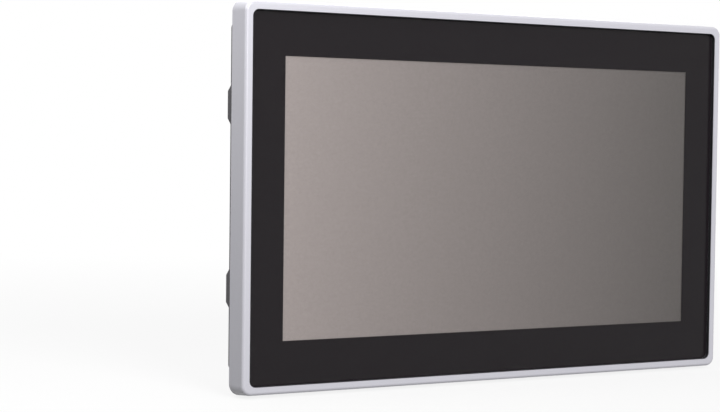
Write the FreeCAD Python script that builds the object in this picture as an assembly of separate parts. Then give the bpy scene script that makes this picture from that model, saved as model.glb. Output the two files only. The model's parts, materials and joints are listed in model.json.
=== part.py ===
import FreeCAD, Part
import math
import os

# An industrial touch panel for a cabinet door: a cast front frame with a flush glass front, a display
# behind it, a moulded rear housing with its connectors in two bays underneath, and screw clamps that
# hook into the housing and press the cabinet sheet against the front frame's gasket.
# Millimetres. X is to the operator's right, Y points into the cabinet and Z is up. The origin is the
# centre of the mounting plane, where the gasket meets the front of the cabinet sheet.

# Display and front glass
display_width = 344.2
display_height = 193.6
side_border = 25.65
top_border = 30.2
glass_thickness = 3.0
glass_corner = 4.5
glass_edge_chamfer = 0.3
glass_gap = 0.2
mask_thickness = 0.1
mask_inset = 0.5
sensor_border = 5.0
sensor_thickness = 0.3
tape_thickness = 0.4
tape_inset = 1.5
sensor_to_cell = 0.2
cell_border = 3.0
cell_thickness = 1.3
cell_gap = 0.2
tray_side_border = 5.9
tray_top_border = 7.2
tray_corner = 2.0
tray_depth = 7.5
tray_clearance = 3.0
tray_rib_height = 0.6
tray_rib_width = 8.0
tray_rib_offset = 35.0
tray_wall = 0.8
bracket_thickness = 1.0
bracket_length = 36.0
bracket_foot = 8.0

# Front frame
ring_width = 5.5
ring_corner = 6.5
ring_edge_round = 2.2
wall_flare = 2.0
bezel_depth = 17.7
bezel_wall = 2.0
ledge_thickness = 3.0
ledge_corner = 3.0
boss_size = 6.6
boss_inset = 4.0
boss_column_offset = 38.0
boss_rib = 2.0

# Mounting frame between the display and the electronics
frame_thickness = 4.2
frame_web = 2.0
frame_clearance = 0.35
standoff_size = 7.0
pocket_margin = 0.5
cable_slot_gap = 2.0
cable_slot_height = 5.0
cable_slot_rise = 4.0

# Gasket
gasket_proud = 0.8
gasket_width = 3.2
gasket_height = 3.0
gasket_margin = 0.4
gasket_bevel = 1.0
groove_clearance = 0.2

# Rear housing
flange_inset = 13.0
housing_depth = 32.0
housing_wall = 3.0
housing_corner = 4.0
housing_inner_corner = 3.0
housing_edge_round = 2.5
column_reach = 4.5
column_recess_radius = 3.4
column_floor = 5.0
column_gap = 1.5
side_column_height = 98.0
top_column_offset = 70.0
rib_height = 4.0
rib_width = 1.6
cover_width = 300.0
cover_height = 150.0
cover_thickness = 1.5
cover_rebate = 7.0
cover_corner = 6.0
cover_gap = 0.3
vent_length = 26.0
vent_width = 3.0
vent_pitch = 9.0
vents_per_row = 12
vent_row_height = 48.0
vent_field_offset = 78.0
side_vent_length = 14.0
side_vents_per_field = 6

# Connector bays in the housing's underside
bay_inner = 22.0
bay_outer = 112.0
bay_height = 16.5
bay_front = 3.5
cutout_clearance = 0.25

# Clamp sockets on the housing's four sides
socket_width = 27.0
socket_chamfer = 4.0
socket_proud = 2.2
socket_front = 7.0
socket_rear = 30.0
socket_side_height = 64.0
socket_pitch = 140.0
slot_spacing = 16.0
slot_width = 7.4
slot_front = 11.0
slot_length = 10.0

# Cabinet sheet
cutout_play = 0.8
sheet_limit = 6.0

# Clamps
clamp_width = 29.5
clamp_gap = 0.2
clamp_base = 3.0
clamp_shoulder = 1.8
clamp_rise = 11.0
clamp_wall = 3.0
clamp_front = 11.5
clamp_length = 14.5
clamp_boss_radius = 5.2
hook_width = 6.8
hook_neck = 5.0
hook_overhang = 3.0
hook_head = 2.6
hook_bevel = 1.2
hook_clearance = 0.1
screw_height = 5.3
screw_radius = 2.0
screw_length = 28.0
screw_bore_clearance = 0.2
nut_flats = 7.0
nut_height = 3.2
nut_thread_clearance = 0.05
key_flats = 2.0
key_depth = 2.5
cap_radius = 3.8
cap_length = 3.0
cap_floor = 0.9
cap_play = 0.05
journal_radius = 1.2

# Electronics
board_half_width = 150.0
board_top = 75.0
board_thickness = 1.6
board_lift = 6.0
board_edge_gap = 0.5
standoff_inset = 6.0
processor_size = 35.0
processor_height = 2.4
processor_x = -30.0
processor_z = 5.0
pad_thickness = 1.0
sink_width = 130.0
sink_height = 90.0
sink_base = 3.0
sink_depth = 15.0
sink_foot = 6.0
fin_thickness = 1.6
fin_count = 14
coin_radius = 10.0
coin_height = 3.2
coin_x = 90.0
coin_z = 45.0
coin_gap = 0.15
coin_holder_wall = 1.6
coin_holder_floor = 1.0
coin_finger = 6.0
cable_thickness = 0.5
display_cable_width = 30.0
display_cable_x = -60.0
touch_cable_width = 12.0
touch_cable_x = 60.0
cable_header_height = 3.0
cable_header_depth = 6.0

# Connectors: places along X, then sizes
ethernet_places = (33.5, 51.5)
usb_place = 70.5
serial_place = 95.5
power_place = -44.0
card_place = -78.0
earth_place = -102.0
jack_width = 16.0
jack_height = 13.4
jack_length = 21.0
jack_mouth_width = 11.8
jack_mouth_height = 8.2
jack_mouth_depth = 15.0
jack_mouth_floor = 1.8
jack_latch_width = 4.2
jack_latch_height = 2.4
jack_contacts = 8
jack_contact_pitch = 1.02
jack_contact_size = 0.5
jack_contact_length = 11.0
usb_width = 14.6
usb_height = 15.6
usb_length = 18.0
usb_mouth_width = 12.6
usb_mouth_height = 5.2
usb_mouth_depth = 12.0
usb_mouth_pitch = 7.2
usb_tongue_width = 10.8
usb_tongue_height = 1.8
serial_flange_width = 30.8
serial_flange_height = 12.5
serial_flange_thickness = 1.0
serial_flange_rise = 0.8
serial_body_width = 19.0
serial_body_length = 10.0
serial_shell_width = 17.0
serial_shell_height = 8.4
serial_shell_taper = 1.5
serial_shell_length = 6.0
serial_shell_wall = 0.7
serial_pin_radius = 0.5
serial_pin_length = 4.6
serial_pin_pitch = 2.76
serial_row_pitch = 2.84
post_spacing = 25.0
post_flats = 5.0
post_length = 5.5
post_bore = 1.25
post_bore_depth = 4.5
card_width = 24.0
card_length = 32.0
card_thickness = 2.1
card_corner_cut = 4.0
card_proud = 1.8
card_clearance = 0.2
card_shell_wall = 1.0
card_shell_floor = 0.4
earth_boss_radius = 5.0
earth_boss_rise = 0.2
earth_stud_radius = 2.0
earth_shank_radius = 2.4
earth_stud_free = 8.0
earth_washer_radius = 4.8
earth_washer_thickness = 1.0

# Power plug and its header
pole_count = 4
pole_pitch = 5.08
plug_width = 23.0
plug_height = 21.2
plug_face_inset = 1.0
plug_seat_gap = 0.2
plug_lip = 2.5
plug_recess_height = 9.4
plug_recess_depth = 3.0
plug_side_wall = 1.0
plug_edge_round = 0.8
nose_width = 21.2
nose_height = 9.0
nose_length = 9.0
entry_radius = 1.3
entry_height = 15.3
latch_slot_width = 13.0
latch_slot_height = 1.4
latch_slot_top = 18.9
latch_slot_depth = 5.0
latch_slot_offset = -2.0
lever_width = 3.0
lever_height = 3.6
lever_centre = 7.7
lever_sink = 0.6
lever_length = 8.4
lever_travel = 1.5
lever_gap = 0.15
lever_groove = 0.8
lever_groove_depth = 0.5
contact_size = 2.6
contact_gap = 0.1
contact_length = 13.5
contact_inset = 0.4
pin_size = 1.0
pin_gap = 0.15
pin_length = 8.0
header_wall = 2.2
header_floor = 4.0
header_gap = 0.3

# Cutting and choosing edges
past = 1.0
hexagon_sides = 6
tolerance = 0.001

# Planes along Y
rim_plane = -gasket_proud
front_plane = rim_plane - bezel_depth
glass_rear = front_plane + glass_thickness
mask_rear = glass_rear + mask_thickness
sensor_rear = mask_rear + sensor_thickness
ledge_front = mask_rear + tape_thickness
ledge_rear = ledge_front + ledge_thickness
cell_front = sensor_rear + sensor_to_cell
cell_rear = cell_front + cell_thickness
tray_rear = cell_rear + tray_depth
frame_front = rim_plane - frame_thickness
web_rear = frame_front + frame_web
board_front = web_rear + board_lift
board_rear = board_front + board_thickness
housing_rear = housing_depth
cover_front = housing_rear - cover_thickness
floor_plane = housing_rear - housing_wall

# Widths and heights, and half of them, from the display outwards
cell_width = display_width + 2 * cell_border
cell_height = display_height + 2 * cell_border
glass_half = (display_width / 2 + side_border, display_height / 2 + top_border)
ring_half = (glass_half[0] + ring_width, glass_half[1] + ring_width)
rim_half = (ring_half[0] + wall_flare, ring_half[1] + wall_flare)
cavity_half = (ring_half[0] - bezel_wall, ring_half[1] - bezel_wall)
frame_half = (cavity_half[0] - frame_clearance, cavity_half[1] - frame_clearance)
housing_half = (rim_half[0] - flange_inset, rim_half[1] - flange_inset)
inner_half = (housing_half[0] - housing_wall, housing_half[1] - housing_wall)
tray_half = (display_width / 2 + tray_side_border, display_height / 2 + tray_top_border)
ledge_half = (tray_half[0] + tray_clearance, tray_half[1] + tray_clearance)
boss_half = (ledge_half[0] + boss_inset, ledge_half[1] + boss_inset)
column_half = (
    inner_half[0] - column_gap - column_reach,
    inner_half[1] - column_gap - column_reach,
)
pocket_half = (
    column_half[0] - column_reach - pocket_margin,
    column_half[1] - column_reach - pocket_margin,
)
cavity_corner = ring_corner - bezel_wall + wall_flare
cutout_half = (
    housing_half[0] + socket_proud + cutout_play,
    housing_half[1] + socket_proud + cutout_play,
)
gasket_half = (cutout_half[0] + gasket_margin, cutout_half[1] + gasket_margin)
ceiling = -(housing_half[1] - bay_height)
board_bottom = ceiling + housing_wall + board_edge_gap
cable_height = board_top + cable_slot_rise + cable_slot_height / 2

# Connector planes, measured from the board's rear face or the bays
serial_middle = board_rear + serial_flange_rise + serial_flange_height / 2
serial_body_rear = serial_middle + serial_shell_height / 2
card_shell_rear = board_rear + card_shell_floor + card_thickness + 2 * card_clearance + card_shell_floor
earth_height = ceiling - bay_height / 2
plug_face = -(housing_half[1] - plug_face_inset)
header_rear = board_rear + nose_height + 2 * header_gap + 2 * header_wall
entry_middle = (board_rear + header_rear) / 2
plug_rear = entry_middle + entry_height
plug_front = plug_rear - plug_height

# Places of what repeats
boss_places = [
    (x, side * boss_half[1])
    for side in (-1, 1)
    for x in (-boss_half[0], 0.0, boss_half[0])
] + [
    (side * boss_half[0], row * boss_column_offset)
    for side in (-1, 1)
    for row in (-1, 1)
]
bottom_column_x = bay_outer + housing_wall + column_reach + column_gap
column_places = [
    (side * column_half[0], row * side_column_height)
    for side in (-1, 1)
    for row in (-1, 1)
] + [
    (side * x, z)
    for side in (-1, 1)
    for x, z in ((top_column_offset, column_half[1]), (bottom_column_x, -column_half[1]))
]


V = FreeCAD.Vector
inward = V(0, 1, 0)
upward = V(0, 0, 1)


def box(x0, x1, y0, y1, z0, z1):
    return Part.makeBox(x1 - x0, y1 - y0, z1 - z0, V(x0, y0, z0))


def rod(radius, y0, y1, x, z):
    """A round bar along Y."""
    return Part.makeCylinder(radius, y1 - y0, V(x, y0, z), inward)


def post(radius, z0, z1, x, y):
    """A round bar along Z."""
    return Part.makeCylinder(radius, z1 - z0, V(x, y, z0), upward)


def prism(points, travel):
    """A flat outline of straight edges, drawn out along travel."""
    return Part.Face(Part.makePolygon(points + points[:1])).extrude(travel)


def bar(width, height, y0, y1, x, z):
    """A rectangular bar along Y, centred on x and z."""
    return box(x - width / 2, x + width / 2, y0, y1, z - height / 2, z + height / 2)


def square_bar(size, y0, y1, x, z):
    return bar(size, size, y0, y1, x, z)


def block(x, width, y0, y1, z0, z1):
    """A box between two planes each way in Y and Z, centred on x."""
    return box(x - width / 2, x + width / 2, y0, y1, z0, z1)


def hexagon(flats, y0, y1, x, z):
    """A six-sided bar along Y, with two flats level."""
    corner = flats / 2 / math.cos(math.pi / hexagon_sides)
    turns = [math.tau * i / hexagon_sides for i in range(hexagon_sides)]
    points = [V(x + corner * math.cos(a), y0, z + corner * math.sin(a)) for a in turns]
    return prism(points, V(0, y1 - y0, 0))


def upright_hexagon(flats, z0, z1, x, y):
    """The same along Z."""
    corner = flats / 2 / math.cos(math.pi / hexagon_sides)
    turns = [math.tau * i / hexagon_sides for i in range(hexagon_sides)]
    points = [V(x + corner * math.cos(a), y + corner * math.sin(a), z0) for a in turns]
    return prism(points, V(0, 0, z1 - z0))


def grown(half, amount):
    return (half[0] + amount, half[1] + amount)


def rounded_outline(half, corner, y, centre=(0.0, 0.0)):
    """A closed rectangle with round corners, in the plane at y."""
    arcs = []
    for i, (sx, sz) in enumerate(((1, 1), (-1, 1), (-1, -1), (1, -1))):
        x = centre[0] + sx * (half[0] - corner)
        z = centre[1] + sz * (half[1] - corner)
        turns = [math.radians(90 * i + step) for step in (0, 45, 90)]
        arcs.append([V(x + corner * math.cos(a), y, z + corner * math.sin(a)) for a in turns])
    edges = []
    for arc, following in zip(arcs, arcs[1:] + arcs[:1]):
        edges.append(Part.Arc(*arc).toShape())
        edges.append(Part.LineSegment(arc[2], following[0]).toShape())
    return Part.Wire(edges)


def plate(half, corner, y0, y1, centre=(0.0, 0.0)):
    """A rectangular plate with round corners, between the planes at y0 and y1."""
    return Part.Face(rounded_outline(half, corner, y0, centre)).extrude(V(0, y1 - y0, 0))


def edges_at(shape, y):
    """The edges that lie in the plane at y."""
    return [
        e for e in shape.Edges
        if abs(e.BoundBox.YMin - y) < tolerance and abs(e.BoundBox.YMax - y) < tolerance
    ]


# Front frame and glass


def front_bezel():
    """The cast frame: a flared wall with a rounded front ring, a ledge for the glass, and screw bosses."""
    front = rounded_outline(ring_half, ring_corner, front_plane)
    rim = rounded_outline(rim_half, ring_corner + wall_flare, rim_plane)
    body = Part.makeLoft([front, rim], True, True)
    body = body.makeFillet(ring_edge_round, edges_at(body, front_plane))
    pocket = plate(grown(glass_half, glass_gap), glass_corner + glass_gap, front_plane - past, ledge_front)
    window = plate(ledge_half, ledge_corner, front_plane - past, rim_plane)
    cavity = plate(cavity_half, cavity_corner, ledge_rear, rim_plane + past)
    body = body.cut(pocket.multiFuse([window, cavity]))
    bosses = []
    for x, z in boss_places:
        bosses.append(square_bar(boss_size, ledge_rear, frame_front, x, z))
        if abs(z) > boss_column_offset:
            z0, z1 = sorted((z, math.copysign(cavity_half[1] + boss_rib / 2, z)))
            bosses.append(box(x - boss_rib / 2, x + boss_rib / 2, ledge_rear, frame_front, z0, z1))
        if x:
            x0, x1 = sorted((x, math.copysign(cavity_half[0] + boss_rib / 2, x)))
            bosses.append(box(x0, x1, ledge_rear, frame_front, z - boss_rib / 2, z + boss_rib / 2))
    return body.multiFuse(bosses).removeSplitter()


def front_glass():
    glass = plate(glass_half, glass_corner, front_plane, glass_rear)
    return glass.makeChamfer(glass_edge_chamfer, edges_at(glass, front_plane))


def glass_mask():
    """The black print behind the glass, open over the picture."""
    sheet = plate(grown(glass_half, -mask_inset), glass_corner, glass_rear, mask_rear)
    return sheet.cut(bar(display_width, display_height, glass_rear - past, mask_rear + past, 0.0, 0.0))


def touch_sensor():
    width = display_width + 2 * sensor_border
    height = display_height + 2 * sensor_border
    return bar(width, height, mask_rear, sensor_rear, 0.0, 0.0)


def glass_tape():
    """The adhesive frame that holds the glass on the ledge."""
    outer = grown(glass_half, -tape_inset)
    inner = grown(ledge_half, tape_inset)
    sheet = bar(2 * outer[0], 2 * outer[1], mask_rear, ledge_front, 0.0, 0.0)
    return sheet.cut(bar(2 * inner[0], 2 * inner[1], mask_rear - past, ledge_front + past, 0.0, 0.0))


# Display


def display_cell():
    return bar(cell_width, cell_height, cell_front, cell_rear, 0.0, 0.0)


def display_tray():
    """The display's metal back: a lip round the cell, and two pressed ribs behind."""
    lip = plate(tray_half, tray_corner, cell_front, cell_rear)
    room = (cell_width + 2 * cell_gap, cell_height + 2 * cell_gap)
    lip = lip.cut(bar(*room, cell_front - past, cell_rear + past, 0.0, 0.0))
    back = plate(tray_half, tray_corner, cell_rear, tray_rear)
    back = back.cut(plate(grown(tray_half, -tray_wall), tray_corner, cell_rear - past, tray_rear - tray_wall))
    rib_length = display_width - 2 * tray_rib_width
    ribs = [
        bar(rib_length, tray_rib_width, tray_rear, tray_rear + tray_rib_height, 0.0, row * tray_rib_offset)
        for row in (-1, 1)
    ]
    return back.multiFuse([lip] + ribs)


def backlight():
    """The slab of light guide and diffusers that fills the tray behind the cell."""
    return plate(grown(tray_half, -tray_wall), tray_corner, cell_rear, tray_rear - tray_wall)


def display_brackets():
    """Four sheet angles from the ledge to the sides of the display's tray."""
    angles = []
    for side in (-1, 1):
        for row in (-1, 1):
            middle = row * (boss_column_offset + boss_half[1]) / 2
            wall = sorted((side * tray_half[0], side * (tray_half[0] + bracket_thickness)))
            base = sorted((side * tray_half[0], side * (ledge_half[0] + bracket_foot)))
            span = (middle - bracket_length / 2, middle + bracket_length / 2)
            upright = box(*wall, ledge_rear, tray_rear, *span)
            flat = box(*base, ledge_rear, ledge_rear + bracket_thickness, *span)
            angles.append(upright.fuse(flat))
    return Part.makeCompound(angles)


# Mounting frame and gasket


def cable_slots():
    """The display's and the touch sensor's cables pass the web just above the board."""
    return [
        (display_cable_x, display_cable_width + 2 * cable_slot_gap),
        (touch_cable_x, touch_cable_width + 2 * cable_slot_gap),
    ]


def standoff_places():
    left = board_half_width - standoff_inset
    low = board_bottom + standoff_inset
    high = board_top - standoff_inset
    return [(x, z) for x in (-left, 0.0, left) for z in (low, high)]


def mounting_frame():
    """The cast frame behind the display: the gasket's groove, the board's standoffs and an earth boss."""
    body = plate(frame_half, cavity_corner - frame_clearance, frame_front, rim_plane)
    pocket = plate(pocket_half, ledge_corner, web_rear, rim_plane + past)
    groove_outer = grown(gasket_half, gasket_width + groove_clearance)
    groove_inner = grown(gasket_half, -groove_clearance)
    groove = plate(groove_outer, housing_corner + gasket_width, -gasket_height, rim_plane + past)
    groove = groove.cut(plate(groove_inner, housing_corner, -gasket_height, rim_plane + past))
    body = body.cut(pocket.fuse(groove))
    standoffs = [square_bar(standoff_size, web_rear, board_front, x, z) for x, z in standoff_places()]
    earth_boss = rod(earth_boss_radius, rim_plane, bay_front + earth_boss_rise, earth_place, earth_height)
    body = body.multiFuse(standoffs + [earth_boss])
    cuts = []
    for x, width in cable_slots():
        cuts.append(bar(width, cable_slot_height, frame_front - past, web_rear + past, x, cable_height))
    cuts.append(rod(earth_shank_radius, web_rear, bay_front + past, earth_place, earth_height))
    return body.cut(Part.makeCompound(cuts))


def panel_gasket():
    """A closed rubber ring with a bevelled back, in the mounting frame's groove."""
    outer = plate(grown(gasket_half, gasket_width), housing_corner + gasket_width, -gasket_height, 0.0)
    ring = outer.cut(plate(gasket_half, housing_corner, -gasket_height - past, past))
    return ring.makeChamfer(gasket_bevel, edges_at(ring, 0.0))


# Rear housing


def sockets():
    """Every clamp socket as the turn about Y and the place of its middle on the housing's side."""
    found = []
    for x in (-socket_pitch, 0.0, socket_pitch):
        found.append((0.0, x, housing_half[1]))
        found.append((180.0, x, -housing_half[1]))
    for z in (-socket_side_height, socket_side_height):
        found.append((90.0, housing_half[0], z))
        found.append((-90.0, -housing_half[0], z))
    return found


def set_at(shape, socket):
    """Carry a shape that was made on a level top side, middle at X 0, to its socket."""
    turn, x, z = socket
    moved = shape.copy()
    moved.rotate(V(0, 0, 0), inward, turn)
    moved.translate(V(x, 0, z))
    return moved


def socket_pad():
    half = socket_width / 2
    top = half - socket_chamfer
    root = -housing_wall / 2
    outline = [
        V(-half, socket_front, root),
        V(-half, socket_front, 0.0),
        V(-top, socket_front, socket_proud),
        V(top, socket_front, socket_proud),
        V(half, socket_front, 0.0),
        V(half, socket_front, root),
    ]
    return prism(outline, V(0, socket_rear - socket_front, 0))


def socket_room():
    """The hollow for the hooks behind a socket, and its two slots."""
    inside = socket_proud - housing_wall
    reach = slot_spacing / 2 + slot_width / 2 + hook_clearance
    room = box(
        -reach, reach, slot_front - housing_wall, slot_front + slot_length + housing_wall + hook_overhang,
        -housing_wall - past, inside,
    )
    slots = [
        box(
            u - slot_width / 2, u + slot_width / 2, slot_front, slot_front + slot_length,
            inside - past, socket_proud + past,
        )
        for u in (-slot_spacing / 2, slot_spacing / 2)
    ]
    return room.multiFuse(slots)


def bay(side, margin):
    """One connector bay, open below and behind, grown by margin for the walls round it."""
    x0, x1 = sorted((side * (bay_inner - margin), side * (bay_outer + margin)))
    return box(x0, x1, bay_front - margin, housing_rear + past, -housing_half[1] - past, ceiling + margin)


def connector_cutouts():
    """The holes in the bays' ceilings and, for the earth boss, in the bay's front wall."""
    card_room = card_width + 2 * (card_clearance + card_shell_wall)
    header_width = nose_width + 2 * (header_gap + header_wall)
    passing = [(x, jack_width, board_rear + jack_height) for x in ethernet_places] + [
        (usb_place, usb_width, board_rear + usb_height),
        (serial_place, serial_body_width, serial_body_rear),
        (power_place, header_width, header_rear),
        (card_place, card_room, card_shell_rear),
    ]
    gap = cutout_clearance
    through = ceiling + housing_wall + past
    cuts = [
        block(x, width + 2 * gap, board_rear - gap, rear + gap, ceiling - past, through)
        for x, width, rear in passing
    ]
    y0, y1 = bay_front - housing_wall - past, bay_front + past
    boss_room = rod(earth_boss_radius + gap, y0, y1, earth_place, earth_height)
    return cuts + [boss_room]


def housing_moulding():
    """The moulded tub: walls, screw columns, clamp sockets, two connector bays and the cover's seat."""
    outer = plate(housing_half, housing_corner, rim_plane, housing_rear)
    outer = outer.makeFillet(housing_edge_round, edges_at(outer, housing_rear))
    outer = outer.multiFuse([set_at(socket_pad(), s) for s in sockets()])
    outer = outer.cut(bay(-1, 0.0).fuse(bay(1, 0.0)))
    hollow = plate(inner_half, housing_inner_corner, rim_plane - past, floor_plane)
    hollow = hollow.cut(bay(-1, housing_wall).fuse(bay(1, housing_wall)))
    shell = outer.cut(hollow)
    added = []
    for x, z in column_places:
        added.append(square_bar(2 * column_reach, rim_plane, floor_plane + past, x, z))
        rib = (rim_plane + rib_height, floor_plane + past)
        if abs(z) < column_half[1]:
            x0, x1 = sorted((x, math.copysign(inner_half[0] + past, x)))
            added.append(box(x0, x1, *rib, z - rib_width / 2, z + rib_width / 2))
        else:
            z0, z1 = sorted((z, math.copysign(inner_half[1] + past, z)))
            added.append(block(x, rib_width, *rib, z0, z1))
    shell = shell.multiFuse(added)
    cover_half = (cover_width / 2, cover_height / 2)
    cuts = [
        plate(grown(cover_half, cover_gap), cover_corner + cover_gap, cover_front, housing_rear + past),
        plate(grown(cover_half, -cover_rebate), cover_corner, floor_plane - past, housing_rear + past),
    ]
    cuts += [set_at(socket_room(), s) for s in sockets()]
    for x, z in column_places:
        cuts.append(rod(column_recess_radius, column_floor, housing_rear + past, x, z))
    cuts += top_vents()
    cuts += connector_cutouts()
    return shell.cut(Part.makeCompound(cuts)).removeSplitter()


def socket_block():
    """The room of one socket's piece of wall, inside and outside."""
    half = socket_width / 2
    return box(-half, half, socket_front, socket_rear, -housing_wall, socket_proud + past)


def bay_block(side):
    """The room of one bay's walls."""
    x0, x1 = sorted((side * (bay_inner - housing_wall), side * (bay_outer + housing_wall)))
    return box(x0, x1, rim_plane - past, housing_rear + past, -housing_half[1] - past, ceiling + housing_wall)


def rear_housing(moulding):
    """The moulding without its bays and sockets, which are solids of their own."""
    blocks = [set_at(socket_block(), s) for s in sockets()] + [bay_block(-1), bay_block(1)]
    return moulding.cut(Part.makeCompound(blocks)).removeSplitter()


def connector_bay(moulding, side):
    return moulding.common(bay_block(side)).removeSplitter()


def clamp_sockets(moulding):
    return Part.makeCompound([moulding.common(set_at(socket_block(), s)) for s in sockets()])


def top_vents():
    """Slots through the top wall, in two fields between the clamps."""
    middle = (side_vents_per_field - 1) / 2
    y0 = (socket_front + socket_rear) / 2 - side_vent_length / 2
    places = [
        side * socket_pitch / 2 + (i - middle) * vent_pitch
        for side in (-1, 1)
        for i in range(side_vents_per_field)
    ]
    return [
        block(x, vent_width, y0, y0 + side_vent_length, inner_half[1] - past, housing_half[1] + past)
        for x in places
    ]


def rear_cover():
    """A sheet steel cover with four rows of vents."""
    sheet = plate((cover_width / 2, cover_height / 2), cover_corner, cover_front, housing_rear)
    middle = (vents_per_row - 1) / 2
    cuts = []
    for side in (-1, 1):
        for row in (-1, 1):
            for i in range(vents_per_row):
                x = side * vent_field_offset + (i - middle) * vent_pitch
                z = row * vent_row_height
                cuts.append(bar(vent_width, vent_length, cover_front - past, housing_rear + past, x, z))
    return sheet.cut(Part.makeCompound(cuts))


# Electronics


def mainboard():
    return box(-board_half_width, board_half_width, board_front, board_rear, board_bottom, board_top)


def square_on_board(size, y0, y1):
    return square_bar(size, y0, y1, processor_x, processor_z)


def processor():
    return square_on_board(processor_size, board_rear, board_rear + processor_height)


def thermal_pad():
    seat = board_rear + processor_height
    return square_on_board(processor_size, seat, seat + pad_thickness)


def heat_sink():
    """An aluminium plate on four feet, with upright fins."""
    y0 = board_rear + processor_height + pad_thickness
    y1 = y0 + sink_base
    low = processor_z - sink_height / 2
    high = processor_z + sink_height / 2
    left = processor_x - sink_width / 2
    body = box(left, left + sink_width, y0, y1, low, high)
    pitch = (sink_width - fin_thickness) / (fin_count - 1)
    fins = [
        box(left + i * pitch, left + i * pitch + fin_thickness, y1, y1 + sink_depth, low, high)
        for i in range(fin_count)
    ]
    reach_x = sink_width / 2 - sink_foot / 2
    reach_z = sink_height / 2 - sink_foot / 2
    feet = [
        square_bar(sink_foot, board_rear, y0, processor_x + sx * reach_x, processor_z + sz * reach_z)
        for sx in (-1, 1)
        for sz in (-1, 1)
    ]
    return body.multiFuse(fins + feet)


def coin_holder():
    outer = coin_radius + coin_gap + coin_holder_wall
    rear = board_rear + coin_holder_floor + coin_height
    cup = rod(outer, board_rear, rear, coin_x, coin_z)
    room = rod(coin_radius + coin_gap, board_rear + coin_holder_floor, rear + past, coin_x, coin_z)
    finger = block(
        coin_x, coin_finger, board_rear + coin_holder_floor, rear + past, coin_z, coin_z + outer + past
    )
    return cup.cut(room.fuse(finger))


def coin_cell():
    y0 = board_rear + coin_holder_floor
    return rod(coin_radius, y0, y0 + coin_height, coin_x, coin_z)


def cable_header(x, width):
    """The flat cable's socket, just inside the board's top edge."""
    z = board_top - standoff_inset / 2
    rear = board_rear + cable_header_height
    return block(x, width + 2 * cable_slot_gap, board_rear, rear, z - cable_header_depth, z)


def cable_headers():
    return Part.makeCompound([
        cable_header(display_cable_x, display_cable_width),
        cable_header(touch_cable_x, touch_cable_width),
    ])


def cable_tail(x, width, y_start):
    """A flat cable from y_start through the web's slot, over the board's top edge and into its header."""
    y_end = board_rear + cable_header_height / 2
    through = block(x, width, y_start, y_end, cable_height, cable_height + cable_thickness)
    down = block(x, width, y_end - cable_thickness, y_end, board_top - standoff_inset / 2, cable_height)
    return through.fuse(down)


def display_cable():
    patch = block(
        display_cable_x, display_cable_width, tray_rear, tray_rear + cable_thickness,
        cable_height - display_cable_width / 2, cable_height + cable_thickness,
    )
    return patch.fuse(cable_tail(display_cable_x, display_cable_width, tray_rear))


def touch_cable():
    """From the sensor's top edge, over the tray and down its back to the same kind of tail."""
    x = touch_cable_x
    width = touch_cable_width
    top = tray_half[1] + tray_clearance / 2
    front = sensor_rear - cable_thickness / 2
    rear = tray_rear + cable_thickness
    at_sensor = block(x, width, front, sensor_rear, display_height / 2 + sensor_border, top)
    over = block(x, width, front, rear, top, top + cable_thickness)
    down = block(x, width, tray_rear, rear, cable_height, top)
    return at_sensor.multiFuse([over, down, cable_tail(x, width, tray_rear)])


# Connectors


def ethernet_socket(x):
    """A shielded jack that opens downwards, with its latch notch towards the rear and eight contacts."""
    body = block(x, jack_width, board_rear, board_rear + jack_height, ceiling, ceiling + jack_length)
    y0 = board_rear + jack_mouth_floor
    y1 = y0 + jack_mouth_height
    top = ceiling + jack_mouth_depth
    mouth = block(x, jack_mouth_width, y0, y1, ceiling - past, top)
    notch = block(x, jack_latch_width, y1, y1 + jack_latch_height, ceiling - past, top)
    middle = (jack_contacts - 1) / 2
    size = jack_contact_size
    low = top - jack_contact_length
    contacts = [
        block(x + (i - middle) * jack_contact_pitch, size, y0 - size / 2, y0 + size, low, top)
        for i in range(jack_contacts)
    ]
    return body.cut(mouth.fuse(notch)).multiFuse(contacts)


def usb_mouths():
    middle = board_rear + usb_height / 2
    return [middle - usb_mouth_pitch / 2, middle + usb_mouth_pitch / 2]


def usb_socket():
    """A metal shell with two stacked mouths."""
    shell = block(usb_place, usb_width, board_rear, board_rear + usb_height, ceiling, ceiling + usb_length)
    half = usb_mouth_height / 2
    mouths = [
        block(usb_place, usb_mouth_width, y - half, y + half, ceiling - past, ceiling + usb_mouth_depth)
        for y in usb_mouths()
    ]
    return shell.cut(Part.makeCompound(mouths))


def usb_tongues():
    """A contact carrier in the front half of each mouth."""
    tongues = []
    for mouth in usb_mouths():
        y = mouth - usb_mouth_height / 4
        tongues.append(block(
            usb_place, usb_tongue_width, y - usb_tongue_height / 2, y + usb_tongue_height / 2,
            ceiling + usb_tongue_height, ceiling + usb_mouth_depth,
        ))
    return Part.makeCompound(tongues)


def d_outline(shrink, z):
    """The serial shell's outline, wider at the front than at the rear."""
    wide = serial_shell_width / 2 - shrink
    narrow = wide - serial_shell_taper
    deep = serial_shell_height / 2 - shrink
    return [
        V(serial_place - wide, serial_middle - deep, z),
        V(serial_place + wide, serial_middle - deep, z),
        V(serial_place + narrow, serial_middle + deep, z),
        V(serial_place - narrow, serial_middle + deep, z),
    ]


def d_prism(shrink, z0, z1):
    solid = prism(d_outline(shrink, z0), V(0, 0, z1 - z0))
    corners = [e for e in solid.Edges if abs(e.BoundBox.ZLength - (z1 - z0)) < tolerance]
    return solid.makeFillet(serial_shell_height / 4 - shrink / 2, corners)


def serial_posts_places():
    return [serial_place - post_spacing / 2, serial_place + post_spacing / 2]


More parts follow.
